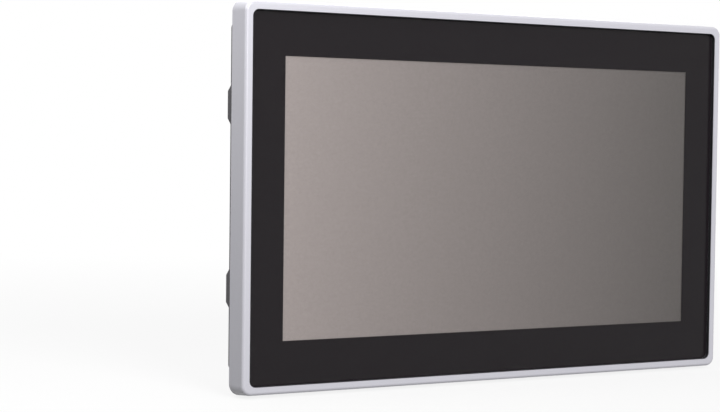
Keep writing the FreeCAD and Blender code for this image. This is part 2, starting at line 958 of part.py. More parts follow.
def serial_shell():
    """The serial port's flange and its D-shaped shell."""
    face = ceiling - serial_flange_thickness
    half = serial_flange_height / 2
    flange = block(
        serial_place, serial_flange_width, serial_middle - half, serial_middle + half, face, ceiling
    )
    shell = flange.fuse(d_prism(0.0, face - serial_shell_length, face))
    shell = shell.cut(d_prism(serial_shell_wall, face - serial_shell_length - past, ceiling + past))
    holes = [post(post_bore, face - past, ceiling + past, x, serial_middle) for x in serial_posts_places()]
    return shell.cut(Part.makeCompound(holes))


def serial_insert():
    """The insulator: a block on the board and a floor inside the shell."""
    face = ceiling - serial_flange_thickness
    body = block(
        serial_place, serial_body_width, board_rear, serial_body_rear, ceiling, ceiling + serial_body_length
    )
    return body.fuse(d_prism(serial_shell_wall, face - serial_flange_thickness, ceiling))


def serial_pins():
    root = ceiling - 2 * serial_flange_thickness
    pins = []
    for count, y in ((5, serial_middle - serial_row_pitch / 2), (4, serial_middle + serial_row_pitch / 2)):
        for i in range(count):
            x = serial_place + (i - (count - 1) / 2) * serial_pin_pitch
            pins.append(upright_hexagon(2 * serial_pin_radius, root - serial_pin_length, root, x, y))
    return Part.makeCompound(pins)


def serial_posts():
    """Two six-sided posts with threaded ends for the plug's screws."""
    face = ceiling - serial_flange_thickness
    posts = []
    for x in serial_posts_places():
        bar = upright_hexagon(post_flats, face - post_length, face, x, serial_middle)
        tail = post(post_bore, face, ceiling, x, serial_middle)
        bore = post(post_bore, face - post_length, face - post_length + post_bore_depth, x, serial_middle)
        posts.append(bar.fuse(tail).cut(bore))
    return Part.makeCompound(posts)


def card_slot():
    """The memory card's metal shell on the board, open below."""
    room = card_width + 2 * card_clearance
    y0 = board_rear + card_shell_floor
    y1 = y0 + card_thickness + 2 * card_clearance
    top = ceiling - card_proud + card_length + card_clearance
    shell = block(
        card_place, room + 2 * card_shell_wall, board_rear, card_shell_rear, ceiling, top + card_shell_wall
    )
    return shell.cut(block(card_place, room, y0, y1, ceiling - past, top))


def memory_card():
    """A card with one cut corner; its lower end stands a little below the slot."""
    x0 = card_place - card_width / 2
    x1 = card_place + card_width / 2
    y0 = board_rear + card_shell_floor + card_clearance
    low = ceiling - card_proud
    high = low + card_length
    outline = [
        V(x0, y0, low),
        V(x1, y0, low),
        V(x1, y0, high),
        V(x0 + card_corner_cut, y0, high),
        V(x0, y0, high - card_corner_cut),
    ]
    return prism(outline, V(0, card_thickness, 0))


def earth_stud():
    """The earth terminal's stepped stud: a shank through the nut, and a free threaded end beyond it."""
    nut_rear = bay_front + earth_boss_rise + earth_washer_thickness + nut_height
    shank = rod(earth_shank_radius, web_rear, nut_rear, earth_place, earth_height)
    free_end = rod(earth_stud_radius, nut_rear, nut_rear + earth_stud_free, earth_place, earth_height)
    return shank.fuse(free_end)


def earth_washer():
    seat = bay_front + earth_boss_rise
    rear = seat + earth_washer_thickness
    disc = rod(earth_washer_radius, seat, rear, earth_place, earth_height)
    return disc.cut(rod(earth_shank_radius, seat - past, rear + past, earth_place, earth_height))


def earth_nut():
    seat = bay_front + earth_boss_rise + earth_washer_thickness
    rear = seat + nut_height
    nut = hexagon(nut_flats, seat, rear, earth_place, earth_height)
    return nut.cut(rod(earth_shank_radius, seat - past, rear + past, earth_place, earth_height))


# Power plug and its header


def pole_places():
    middle = (pole_count - 1) / 2
    return [power_place + (i - middle) * pole_pitch for i in range(pole_count)]


def power_header():
    """The plug's socket on the board, with a pin for each pole in its own node."""
    room = nose_width + 2 * header_gap
    top = ceiling + nose_length + header_gap
    shell = block(power_place, room + 2 * header_wall, board_rear, header_rear, ceiling, top + header_floor)
    return shell.cut(block(
        power_place, room, board_rear + header_wall, header_rear - header_wall, ceiling - past, top
    ))


def power_pins():
    top = ceiling + nose_length + header_gap
    half = pin_size / 2
    return Part.makeCompound([
        block(x, pin_size, entry_middle - half, entry_middle + half, top - pin_length, top)
        for x in pole_places()
    ])


def plug_body():
    """The spring plug: a nose in the header, a recess with release levers, and four wire entries below."""
    seat = ceiling - plug_seat_gap
    nose_end = ceiling + nose_length
    body = block(power_place, plug_width, plug_front, plug_rear, plug_face, seat)
    body = body.makeFillet(plug_edge_round, [
        e for e in body.Edges
        if abs(e.BoundBox.XLength - plug_width) < tolerance and e.BoundBox.ZMax < seat - tolerance
    ])
    half = nose_height / 2
    nose = block(power_place, nose_width, entry_middle - half, entry_middle + half, seat, nose_end)
    recess_rear = plug_rear - plug_lip
    recess = block(
        power_place, plug_width - 2 * plug_side_wall, recess_rear - plug_recess_height, recess_rear,
        plug_face - past, plug_face + plug_recess_depth,
    )
    latch_rear = plug_rear - latch_slot_top
    latch = block(
        power_place + latch_slot_offset, latch_slot_width, latch_rear - latch_slot_height, latch_rear,
        plug_face - past, plug_face + latch_slot_depth,
    )
    cuts = [recess, latch]
    shaft_half = lever_height / 2 + lever_gap
    lever_y = plug_rear - lever_centre
    shaft_top = plug_face + lever_sink + lever_length + lever_travel + lever_gap
    room = contact_size / 2 + contact_gap
    contact_end = nose_end - contact_inset - contact_length
    for x in pole_places():
        y0, y1 = lever_y - shaft_half, lever_y + shaft_half
        cuts.append(block(x, lever_width + 2 * lever_gap, y0, y1, plug_face, shaft_top))
        y0, y1 = entry_middle - room, entry_middle + room
        cuts.append(block(x, 2 * room, y0, y1, contact_end - contact_gap, nose_end + past))
        cuts.append(post(entry_radius, plug_face - past, contact_end, x, entry_middle))
    return body.fuse(nose).cut(Part.makeCompound(cuts))


def plug_contacts():
    """A square contact in each pole, bored for the header's pin."""
    end = ceiling + nose_length - contact_inset
    half = contact_size / 2
    bore = pin_size / 2 + pin_gap
    contacts = []
    for x in pole_places():
        body = block(x, contact_size, entry_middle - half, entry_middle + half, end - contact_length, end)
        low = end - pin_length - contact_size
        contacts.append(body.cut(block(x, 2 * bore, entry_middle - bore, entry_middle + bore, low, end + past)))
    return Part.makeCompound(contacts)


def plug_lever(x):
    """A release lever with a driver groove across its end."""
    y = plug_rear - lever_centre
    low = plug_face + lever_sink
    body = block(x, lever_width, y - lever_height / 2, y + lever_height / 2, low, low + lever_length)
    groove = block(
        x, lever_width, y - lever_groove / 2, y + lever_groove / 2, low - past, low + lever_groove_depth
    )
    return body.cut(groove)


# Clamps: made on a level top side, with X along the housing's edge and Z outwards


def clamp_body():
    """An arched body with side windows, a boss round the screw, and two hooks for the socket's slots."""
    base = socket_proud + clamp_gap
    half = clamp_width / 2
    rear = clamp_front + clamp_length
    travel = V(0, clamp_length, 0)
    shoulder = base + clamp_shoulder
    crest = base + clamp_rise
    arch = Part.Arc(
        V(half, clamp_front, shoulder), V(0, clamp_front, crest), V(-half, clamp_front, shoulder)
    )
    corners = [
        V(-half, clamp_front, shoulder),
        V(-half, clamp_front, base),
        V(half, clamp_front, base),
        V(half, clamp_front, shoulder),
    ]
    outline = [Part.LineSegment(a, b).toShape() for a, b in zip(corners, corners[1:])]
    body = Part.Face(Part.Wire([arch.toShape()] + outline)).extrude(travel)
    sagitta = crest - shoulder
    arch_radius = (half * half + sagitta * sagitta) / (2 * sagitta)
    room = rod(arch_radius - clamp_wall, clamp_front - past, rear + past, 0.0, crest - arch_radius)
    floor = base + clamp_base
    room = room.common(box(-half, half, clamp_front - past, rear + past, floor, crest))
    axis = base + screw_height
    room = room.cut(rod(clamp_boss_radius, clamp_front - past, rear + past, 0.0, axis))
    body = body.cut(room)
    nut_room = nut_flats + 2 * nut_thread_clearance
    body = body.cut(hexagon(nut_room, clamp_front - past, clamp_front + nut_height, 0.0, axis))
    body = body.cut(rod(screw_radius + screw_bore_clearance, clamp_front, rear + past, 0.0, axis))
    return body.multiFuse([clamp_hook(-1), clamp_hook(1)])


def clamp_hook(side):
    """A neck through the socket's slot, and a bevelled head behind the slot's rear edge."""
    u0 = side * slot_spacing / 2 - hook_width / 2
    u1 = u0 + hook_width
    rear = slot_front + slot_length - hook_clearance
    front = rear - hook_neck
    behind = socket_proud - housing_wall - hook_clearance
    tip = behind - hook_head
    top = socket_proud + clamp_gap
    outline = [
        V(u0, front, top),
        V(u0, rear, top),
        V(u0, rear, behind),
        V(u0, rear + hook_overhang, behind),
        V(u0, rear + hook_overhang, tip + hook_bevel),
        V(u0, rear + hook_overhang - hook_bevel, tip),
        V(u0, front + hook_bevel, tip),
        V(u0, front, tip + hook_bevel),
    ]
    return prism(outline, V(u1 - u0, 0, 0))


def clamp_nut():
    axis = socket_proud + clamp_gap + screw_height
    rear = clamp_front + nut_height
    nut = hexagon(nut_flats, clamp_front, rear, 0.0, axis)
    return nut.cut(rod(screw_radius + nut_thread_clearance, clamp_front - past, rear + past, 0.0, axis))


def clamp_screw():
    """A set screw: a journal in the thrust cap, the threaded shank and a key socket."""
    axis = socket_proud + clamp_gap + screw_height
    start = sheet_limit + cap_floor + cap_play
    shoulder = sheet_limit + cap_length + cap_play
    end = start + screw_length
    shank = rod(screw_radius, shoulder, end, 0.0, axis)
    journal = rod(journal_radius, start, shoulder, 0.0, axis)
    key = hexagon(key_flats, end - key_depth, end + past, 0.0, axis)
    return shank.fuse(journal).cut(key)


def thrust_cap():
    """The plastic cap that presses on the sheet while the screw turns in it."""
    axis = socket_proud + clamp_gap + screw_height
    cap = rod(cap_radius, sheet_limit, sheet_limit + cap_length, 0.0, axis)
    rear = sheet_limit + cap_length
    return cap.cut(rod(journal_radius + cap_play, sheet_limit + cap_floor, rear + past, 0.0, axis))


# The assembly

parts = {}
parts["front_bezel"] = front_bezel()
parts["front_glass"] = front_glass()
parts["glass_mask"] = glass_mask()
parts["touch_sensor"] = touch_sensor()
parts["glass_tape"] = glass_tape()
parts["display_cell"] = display_cell()
parts["display_tray"] = display_tray()
parts["backlight"] = backlight()
parts["display_brackets"] = display_brackets()
parts["mounting_frame"] = mounting_frame()
parts["panel_gasket"] = panel_gasket()
moulding = housing_moulding()
parts["rear_housing"] = rear_housing(moulding)
parts["connector_bay_left"] = connector_bay(moulding, -1)
parts["connector_bay_right"] = connector_bay(moulding, 1)
parts["clamp_sockets"] = clamp_sockets(moulding)
parts["rear_cover"] = rear_cover()
parts["mainboard"] = mainboard()
parts["processor"] = processor()
parts["thermal_pad"] = thermal_pad()
parts["heat_sink"] = heat_sink()
parts["coin_holder"] = coin_holder()
parts["coin_cell"] = coin_cell()
parts["cable_headers"] = cable_headers()
parts["display_cable"] = display_cable()
parts["touch_cable"] = touch_cable()
for number, place in enumerate(ethernet_places, 1):
    parts[f"ethernet_socket_{number}"] = ethernet_socket(place)
parts["usb_socket"] = usb_socket()
parts["usb_tongues"] = usb_tongues()
parts["serial_shell"] = serial_shell()
parts["serial_insert"] = serial_insert()
parts["serial_pins"] = serial_pins()
parts["serial_posts"] = serial_posts()
parts["card_slot"] = card_slot()
parts["memory_card"] = memory_card()
parts["earth_stud"] = earth_stud()
parts["earth_washer"] = earth_washer()
parts["earth_nut"] = earth_nut()
parts["power_header"] = power_header()
parts["power_pins"] = power_pins()
parts["plug_body"] = plug_body()
parts["plug_contacts"] = plug_contacts()
for number, place in enumerate(pole_places(), 1):
    parts[f"plug_lever_{number}"] = plug_lever(place)

fitted = {
    "top_left": (0.0, -socket_pitch, housing_half[1]),
    "top_right": (0.0, socket_pitch, housing_half[1]),
    "bottom_left": (180.0, -socket_pitch, -housing_half[1]),
    "bottom_right": (180.0, socket_pitch, -housing_half[1]),
}
for name, socket in fitted.items():
    parts[f"clamp_{name}"] = set_at(clamp_body(), socket)
    parts[f"screw_{name}"] = set_at(clamp_screw(), socket)
    parts[f"cap_{name}"] = set_at(thrust_cap(), socket)
parts["clamp_nuts"] = Part.makeCompound([set_at(clamp_nut(), s) for s in fitted.values()])

os.makedirs("parts", exist_ok=True)
for name, shape in parts.items():
    assert shape.isValid() and shape.Volume > 0, name
    shape.exportStep(f"parts/{name}.step")
print(len(parts), "parts")
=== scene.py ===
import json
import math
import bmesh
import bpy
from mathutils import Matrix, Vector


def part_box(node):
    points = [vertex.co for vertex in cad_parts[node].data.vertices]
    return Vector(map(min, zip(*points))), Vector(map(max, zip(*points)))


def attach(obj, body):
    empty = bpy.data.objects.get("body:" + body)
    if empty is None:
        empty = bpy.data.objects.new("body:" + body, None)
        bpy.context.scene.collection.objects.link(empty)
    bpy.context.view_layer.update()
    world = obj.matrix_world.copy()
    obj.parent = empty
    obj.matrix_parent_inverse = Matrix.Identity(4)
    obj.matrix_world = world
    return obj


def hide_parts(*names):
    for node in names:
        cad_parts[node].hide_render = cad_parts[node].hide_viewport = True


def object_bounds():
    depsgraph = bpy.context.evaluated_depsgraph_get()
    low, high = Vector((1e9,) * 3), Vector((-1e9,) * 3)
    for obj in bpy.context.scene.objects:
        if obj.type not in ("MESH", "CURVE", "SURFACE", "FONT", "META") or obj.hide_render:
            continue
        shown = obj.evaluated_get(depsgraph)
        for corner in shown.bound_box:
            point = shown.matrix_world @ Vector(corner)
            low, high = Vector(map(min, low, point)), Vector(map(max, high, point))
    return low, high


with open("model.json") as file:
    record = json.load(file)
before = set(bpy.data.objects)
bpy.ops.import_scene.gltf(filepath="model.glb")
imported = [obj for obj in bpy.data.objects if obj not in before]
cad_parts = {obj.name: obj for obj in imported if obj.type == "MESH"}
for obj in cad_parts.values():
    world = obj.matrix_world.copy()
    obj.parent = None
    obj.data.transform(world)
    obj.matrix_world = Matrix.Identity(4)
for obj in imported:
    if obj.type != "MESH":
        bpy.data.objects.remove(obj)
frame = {"nodes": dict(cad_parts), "record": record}

# %% [markdown]
# An operator panel for a control cabinet: a glass front in a light metal frame, a moulded black
# housing behind it, screw clamps round the housing and connectors in two bays underneath. The
# construction comes in finished, at its real size in metres. This lesson gives each piece the
# surface that its maker gave it, and adds what is too small for the construction model: threads,
# screw heads, spring fingers, contacts and rounded edges.

cad_low, cad_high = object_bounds()
mm = 0.001    # the scene is in metres
nodes = frame["nodes"]
body_of = {
    node: body
    for body, members in frame["record"]["behaviour"]["bodies"].items()
    for node in members
}
slot_of = {row["node"]: row["material_slot"] for row in frame["record"]["subparts"]}
print("nodes", len(nodes), "size in mm", [round(v / mm, 1) for v in cad_high - cad_low])

# %% [markdown]
# The camera stands low and to the left, nearly level with the middle of the screen, with a long
# lens, so the frame's left wall shows and the right side runs away in perspective. Its place, its
# aim and a small roll are given; there is no shift and no depth of field.

# %% Camera
camera_place = Vector((-656.48, -1020.89, 35.79)) * mm
camera_aim = Vector((-115.26, -18.5, -5.13)) * mm
camera_roll = math.radians(0.70)
camera_data = bpy.data.cameras.new("camera")
camera_data.lens = 82.225
camera_data.sensor_width = 36.0
camera = bpy.data.objects.new("camera", camera_data)
bpy.context.scene.collection.objects.link(camera)
turn = (camera_aim - camera_place).to_track_quat("-Z", "Y").to_matrix()
camera.matrix_world = (turn @ Matrix.Rotation(camera_roll, 3, "Z")).to_4x4()
camera.location = camera_place
bpy.context.scene.camera = camera
bpy.context.scene.view_settings.view_transform = "Standard"
print("camera at", [round(v, 3) for v in camera.location])

# %% [markdown]
# Every operator works on what is selected, and the construction arrives selected, so each step
# begins from a cleared bench. The other helpers choose faces or edges by a rule, as a modeller
# would click them, and put a finished modifier into the mesh.

# %% Bench helpers
def clear_bench():
    """Leave edit mode and select nothing."""
    if bpy.context.object and bpy.context.object.mode != "OBJECT":
        bpy.ops.object.mode_set(mode="OBJECT")
    bpy.ops.object.select_all(action="DESELECT")


def take(*pieces):
    """Select these pieces alone; the first is the active one."""
    clear_bench()
    for piece in pieces:
        piece.select_set(True)
    bpy.context.view_layer.objects.active = pieces[0]


def open_mesh(piece, mode="FACE"):
    """Enter edit mode with nothing selected."""
    take(piece)
    bpy.ops.object.mode_set(mode="EDIT")
    bpy.ops.mesh.select_mode(type=mode)
    bpy.ops.mesh.select_all(action="DESELECT")


def pick(piece, kind, rule):
    """Select the faces, edges or verts for which the rule holds, and say how many."""
    mesh = bmesh.from_edit_mesh(piece.data)
    chosen = [element for element in getattr(mesh, kind) if rule(element)]
    bpy.ops.mesh.select_all(action="DESELECT")
    for element in chosen:
        element.select_set(True)
    mesh.select_flush_mode()
    bmesh.update_edit_mesh(piece.data)
    return len(chosen)


def close_mesh():
    """Go back to object mode."""
    bpy.ops.object.mode_set(mode="OBJECT")


def settle(piece):
    """Put the object's place, turn and size into its mesh."""
    take(piece)
    bpy.ops.object.transform_apply(location=True, rotation=True, scale=True)


def apply_modifier(piece, kind, **settings):
    """Add a modifier, set it and apply it."""
    take(piece)
    bpy.ops.object.modifier_add(type=kind)
    modifier = piece.modifiers[-1]
    for name, value in settings.items():
        setattr(modifier, name, value)
    bpy.ops.object.modifier_apply(modifier=modifier.name)


def smooth(piece, degrees=32):
    """Shade smooth, but keep edges that turn by more than this."""
    take(piece)
    bpy.ops.object.shade_smooth_by_angle(angle=math.radians(degrees))


# %% [markdown]
# Colours are written as they look on a screen, in hex, and Blender computes in linear light, so
# one function turns hex into light. A second function adds a node with its settings and links,
# and builds every material below. A Mix node's colours go into its sockets 6 and 7 and come out of
# its socket 2. A noise's values crowd round their middle, so most patterns spread this span of
# them over the finish's own range.

# %% Colour and node helpers
noise_span = {"From Min": 0.3, "From Max": 0.7}


def linear(code):
    """An sRGB hex code as linear red, green, blue and full alpha."""
    channels = [int(code[i:i + 2], 16) / 255 for i in (1, 3, 5)]
    bent = [c / 12.92 if c <= 0.04045 else ((c + 0.055) / 1.055) ** 2.4 for c in channels]
    return (*bent, 1.0)


def add_node(tree, kind, settings=None, links=None):
    """Add a shader node, set its inputs or properties by name, and link sockets into it."""
    node = tree.nodes.new(kind)
    for name, value in (settings or {}).items():
        if isinstance(name, int) or name in node.inputs:
            node.inputs[name].default_value = value
        else:
            setattr(node, name, value)
    for name, source in (links or {}).items():
        tree.links.new(source, node.inputs[name])
    return node


def new_material(name):
    """An empty material, its tree, the socket for its surface, and the object's coordinates."""
    material = bpy.data.materials.new(name)
    material.use_nodes = True
    tree = material.node_tree
    tree.nodes.clear()
    surface = add_node(tree, "ShaderNodeOutputMaterial").inputs["Surface"]
    place = add_node(tree, "ShaderNodeTexCoord").outputs["Object"]
    return material, tree, surface, place


# %% [markdown]
# The studio is one wide pale floor under an even sky. Both look white to the camera, in
# reflections and through glass, and every other ray gets only their soft light, so the white never
# washes the object out. Round the object the floor glows a little less, which keeps its shadow.

# %% Floor and world
def white_when_seen(tree):
    """A factor of 1 for camera, glossy and transmission rays, and 0 for the others."""
    paths = add_node(tree, "ShaderNodeLightPath")
    seen = add_node(
        tree, "ShaderNodeMath", {"operation": "MAXIMUM"},
        {0: paths.outputs["Is Camera Ray"], 1: paths.outputs["Is Glossy Ray"]},
    )
    return add_node(
        tree, "ShaderNodeMath", {"operation": "MAXIMUM"},
        {0: seen.outputs[0], 1: paths.outputs["Is Transmission Ray"]},
    ).outputs[0]


shadow_share = 0.84                  # the floor's glow right under the object
shadow_from, shadow_to = 0.3, 1.4    # metres from the middle over which it grows to full
sky_light = 0.25

floor_paint, tree, surface, place = new_material("studio_floor_paint")
bounce = add_node(
    tree, "ShaderNodeMix", {"data_type": "RGBA", 6: linear("#505050"), 7: linear("#EFEFEF")},
    {0: white_when_seen(tree)},
)
matt = add_node(tree, "ShaderNodeBsdfDiffuse", None, {"Color": bounce.outputs[2]})
glow = add_node(tree, "ShaderNodeEmission", {"Color": linear("#FFFFFF"), "Strength": 1.0})
away = add_node(tree, "ShaderNodeVectorMath", {"operation": "LENGTH"}, {0: place})
fade = add_node(
    tree, "ShaderNodeMapRange",
    {"From Min": shadow_from, "From Max": shadow_to, "To Min": shadow_share},
    {"Value": away.outputs["Value"]},
)
glow_share = add_node(
    tree, "ShaderNodeMath", {"operation": "MULTIPLY"},
    {0: white_when_seen(tree), 1: fade.outputs[0]},
)
mixed = add_node(
    tree, "ShaderNodeMixShader", None,
    {0: glow_share.outputs[0], 1: matt.outputs[0], 2: glow.outputs[0]},
)
tree.links.new(mixed.outputs[0], surface)
floor_paint.cycles.emission_sampling = "NONE"    # the glow is only seen, so it is no lamp

floor_level = cad_low.z - 0.1 * mm
clear_bench()
bpy.ops.mesh.primitive_plane_add(size=60.0, location=(0, 0, floor_level))
floor = bpy.context.object
floor.name = "studio_floor"
floor.data.materials.append(floor_paint)

world = bpy.data.worlds.new("studio_world")
bpy.context.scene.world = world
world.use_nodes = True
sky_tree = world.node_tree
sky_tree.nodes.clear()
soft = add_node(
    sky_tree, "ShaderNodeBackground", {"Color": linear("#FFFFFF"), "Strength": sky_light}
)
white = add_node(sky_tree, "ShaderNodeBackground", {"Color": linear("#FFFFFF"), "Strength": 1.0})
sky = add_node(
    sky_tree, "ShaderNodeMixShader", None,
    {0: white_when_seen(sky_tree), 1: soft.outputs[0], 2: white.outputs[0]},
)
add_node(sky_tree, "ShaderNodeOutputWorld", None, {"Surface": sky.outputs[0]})
print("floor at", round(floor_level / mm, 2), "mm")

# %% [markdown]
# A product table is lit by square softboxes, and here they are area lamps of the same sizes in
# metres. The front one hangs so high that the glass mirrors it away from the camera. A weak one
# above and a small one at the left give the frame's top and side their tone, and one behind lights
# the rear. The camera doesn't see the lamps themselves.

# %% Lamps
def soft_lamp(name, place, aim, size, watts):
    """A square softbox that points from its place at its aim."""
    data = bpy.data.lights.new(name, "AREA")
    data.energy = watts
    data.size = size
    lamp = bpy.data.objects.new(name, data)
    bpy.context.scene.collection.objects.link(lamp)
    lamp.location = place
    lamp.rotation_mode = "QUATERNION"
    lamp.rotation_quaternion = (Vector(aim) - Vector(place)).to_track_quat("-Z", "Y")
    lamp.visible_camera = False


soft_lamp("lamp_front", (-0.1, -1.95, 0.75), aim=(0, 0, 0.05), size=0.9, watts=37)
soft_lamp("lamp_above", (0.1, 0.1, 1.5), aim=(0, 0, 0), size=1.2, watts=2.5)
soft_lamp("lamp_left", (-0.46, -0.05, 0.42), aim=(-0.2, 0, 0.1), size=0.45, watts=1.65)
soft_lamp("lamp_behind", (0.7, 1.8, 0.9), aim=(0, 0, 0), size=1.6, watts=16)
print("lamps", len(bpy.data.lights))

# %% [markdown]
# The front frame is die-cast aluminium with a satin silver-grey powder coat. Powder melts into a
# skin with a faint orange peel, and the fine aluminium flakes in it give a soft metallic sheen
# with a lavender cast. The peel is about a millimetre across, and a slight bump draws it. The
# flakes are far finer, and they are drawn 0.35 mm wide so that their faint unevenness shows.

# %% Powder-coated aluminium
peel_size, peel_height = 0.9 * mm, 0.05 * mm
flake_size = 0.35 * mm

powder_coat, tree, surface, place = new_material("silver_powder_coat")
peel = add_node(
    tree, "ShaderNodeTexNoise", {"Scale": 1 / peel_size, "Detail": 2.0, "Roughness": 0.5},
    {"Vector": place},
)
flakes = add_node(
    tree, "ShaderNodeTexNoise", {"Scale": 1 / flake_size, "Detail": 1.0}, {"Vector": place}
)
tint = add_node(tree, "ShaderNodeMapRange", noise_span, {"Value": flakes.outputs["Fac"]})
silver = add_node(
    tree, "ShaderNodeMix",
    {"data_type": "RGBA", 6: linear("#C7C6CE"), 7: linear("#D1D0D8")}, {0: tint.outputs[0]},
)
gloss = add_node(
    tree, "ShaderNodeMapRange", {**noise_span, "To Min": 0.34, "To Max": 0.42},
    {"Value": peel.outputs["Fac"]},
)
skin = add_node(
    tree, "ShaderNodeBump", {"Strength": 0.06, "Distance": peel_height},
    {"Height": peel.outputs["Fac"]},
)
coat = add_node(
    tree, "ShaderNodeBsdfPrincipled", {"Metallic": 0.1, "IOR": 1.5},
    {"Base Color": silver.outputs[2], "Roughness": gloss.outputs[0], "Normal": skin.outputs[0]},
)
tree.links.new(coat.outputs[0], surface)
print("powder coat: peel", peel_size / mm, "mm, flakes", flake_size / mm, "mm")

# %% [markdown]
# The front is toughened glass with a fine satin etch against glare. It must show the print and the
# display exactly where they are, so the light passes straight on through its flat faces. Their
# faint gloss is left to the print and the display right behind the glass, where it renders without
# grain. The ground edge and the chamfer are a dark, glossy grey, so from every side they close the
# pane with a thin dark line. Where a face looks along Y, its normal's Y is 1, and that tells the
# flat faces from the edge.

# %% Satin-etched toughened glass
flat_from = 0.95    # a normal's Y above this belongs to a flat face

etched_glass, tree, surface, place = new_material("satin_etched_glass")
faces = add_node(tree, "ShaderNodeNewGeometry")
facing = add_node(tree, "ShaderNodeSeparateXYZ", None, {"Vector": faces.outputs["True Normal"]})
flatness = add_node(tree, "ShaderNodeMath", {"operation": "ABSOLUTE"}, {0: facing.outputs["Y"]})
ground_edge = add_node(
    tree, "ShaderNodeMath", {"operation": "LESS_THAN", 1: flat_from}, {0: flatness.outputs[0]}
)
clear = add_node(tree, "ShaderNodeBsdfTransparent", {"Color": linear("#FDFEFD")})
# a dark, glossy grey for the ground edge and the chamfer
darkened = add_node(
    tree, "ShaderNodeBsdfPrincipled",
    {"Base Color": linear("#38373A"), "Roughness": 0.4, "IOR": 1.3},
)
mixed = add_node(
    tree, "ShaderNodeMixShader", None,
    {0: ground_edge.outputs[0], 1: clear.outputs[0], 2: darkened.outputs[0]},
)
tree.links.new(mixed.outputs[0], surface)
print("glass: edge inked where a face turns by more than",
      round(math.degrees(math.acos(flat_from))), "degrees from the front")

# %% [markdown]
# Behind the glass, a black ceramic print frames the picture. It is fired onto the glass, so it is
# as smooth as the glass. The little room light that the etch in front scatters is a painted
# reflection in its colour, which lifts the black to a very dark grey.

# %% Ceramic print
speck_size = 2.0 * mm

ceramic, tree, surface, place = new_material("black_ceramic_print")
specks = add_node(
    tree, "ShaderNodeTexNoise", {"Scale": 1 / speck_size, "Detail": 3.0}, {"Vector": place}
)
# painted reflection: the etch's scattered room light lifts the black to a very dark grey
black = add_node(
    tree, "ShaderNodeMix",
    {"data_type": "RGBA", 6: linear("#201B1F"), 7: linear("#241F23")}, {0: specks.outputs["Fac"]},
)
enamel = add_node(
    tree, "ShaderNodeBsdfPrincipled", {"Roughness": 0.14, "IOR": 1.25},
    {"Base Color": black.outputs[2]},
)
tree.links.new(enamel.outputs[0], surface)
print("print: specks", speck_size / mm, "mm")

# %% [markdown]
# The display behind the print's window is switched off: a neutral grey polariser that scatters a
# little, with the black grid between its picture dots. A painted reflection of the room's light
# makes it warmer and lighter towards the operator's left. Real dots are 0.18 mm apart, and they
# are drawn 0.9 mm apart so that they show.

# %% Display
display_half_width = 172.1 * mm
dot_pitch = 0.9 * mm
dot_depth = 0.12
haze_size = 1.6 * mm
# the painted reflection falls off across the display from the lit left side
reflection_falloff_power = 0.8    # below one, the shade falls sooner at the lit side
grain_low, grain_high = 0.93, 1.04    # the dots' and the haze's share of the brightness

polariser, tree, surface, place = new_material("grey_polariser")
axes = add_node(tree, "ShaderNodeSeparateXYZ", None, {"Vector": place})
across = add_node(
    tree, "ShaderNodeMapRange",
    {"From Min": -display_half_width, "From Max": display_half_width}, {"Value": axes.outputs["X"]},
)
painted_reflection_falloff = add_node(
    tree, "ShaderNodeMath", {"operation": "POWER", 1: reflection_falloff_power}, {0: across.outputs[0]}
)
# painted reflection: warmer and lighter at the left, where the room's light falls
painted_reflection = add_node(
    tree, "ShaderNodeMix",
    {"data_type": "RGBA", 6: linear("#B7AAAA"), 7: linear("#736D6D")}, {0: painted_reflection_falloff.outputs[0]},
)
dots = []
for axis in ("X", "Z"):
    wave = add_node(
        tree, "ShaderNodeMath", {"operation": "MULTIPLY", 1: math.tau / dot_pitch},
        {0: axes.outputs[axis]},
    )
    dots.append(
        add_node(tree, "ShaderNodeMath", {"operation": "SINE"}, {0: wave.outputs[0]}).outputs[0]
    )
grid = add_node(tree, "ShaderNodeMath", {"operation": "ADD"}, {0: dots[0], 1: dots[1]})
haze = add_node(
    tree, "ShaderNodeTexNoise", {"Scale": 1 / haze_size, "Detail": 3.0}, {"Vector": place}
)
both = add_node(
    tree, "ShaderNodeMath", {"operation": "MULTIPLY_ADD", 1: dot_depth},
    {0: grid.outputs[0], 2: haze.outputs["Fac"]},
)
texture = add_node(
    tree, "ShaderNodeMapRange",
    {"From Min": 0.2, "From Max": 0.8, "To Min": grain_low, "To Max": grain_high},
    {"Value": both.outputs[0]},
)
screen = add_node(
    tree, "ShaderNodeMix", {"data_type": "RGBA", "blend_type": "MULTIPLY", 0: 1.0},
    {6: painted_reflection.outputs[2], 7: texture.outputs[0]},
)
film = add_node(
    tree, "ShaderNodeBsdfPrincipled", {"Roughness": 0.25, "IOR": 1.15},
    {"Base Color": screen.outputs[2]},
)
tree.links.new(film.outputs[0], surface)
print("display: dots drawn", dot_pitch / mm, "mm apart")

# %% [markdown]
# The rear housing is glass-filled polycarbonate from a spark-eroded mould. The erosion leaves fine
# craters, about 0.3 mm across, that turn a black plastic into a soft dark grey, and they are drawn
# a little coarser so that they show. The clamps are glass-filled nylon, a little glossier where the
# melt met the steel. All mouldings share faint flow marks some 14 mm long. One function makes every
# plastic, rubber and film from two close tones, a grain, a span of roughness and a relief.

# %% Moulded plastics
flow_mark = 14 * mm


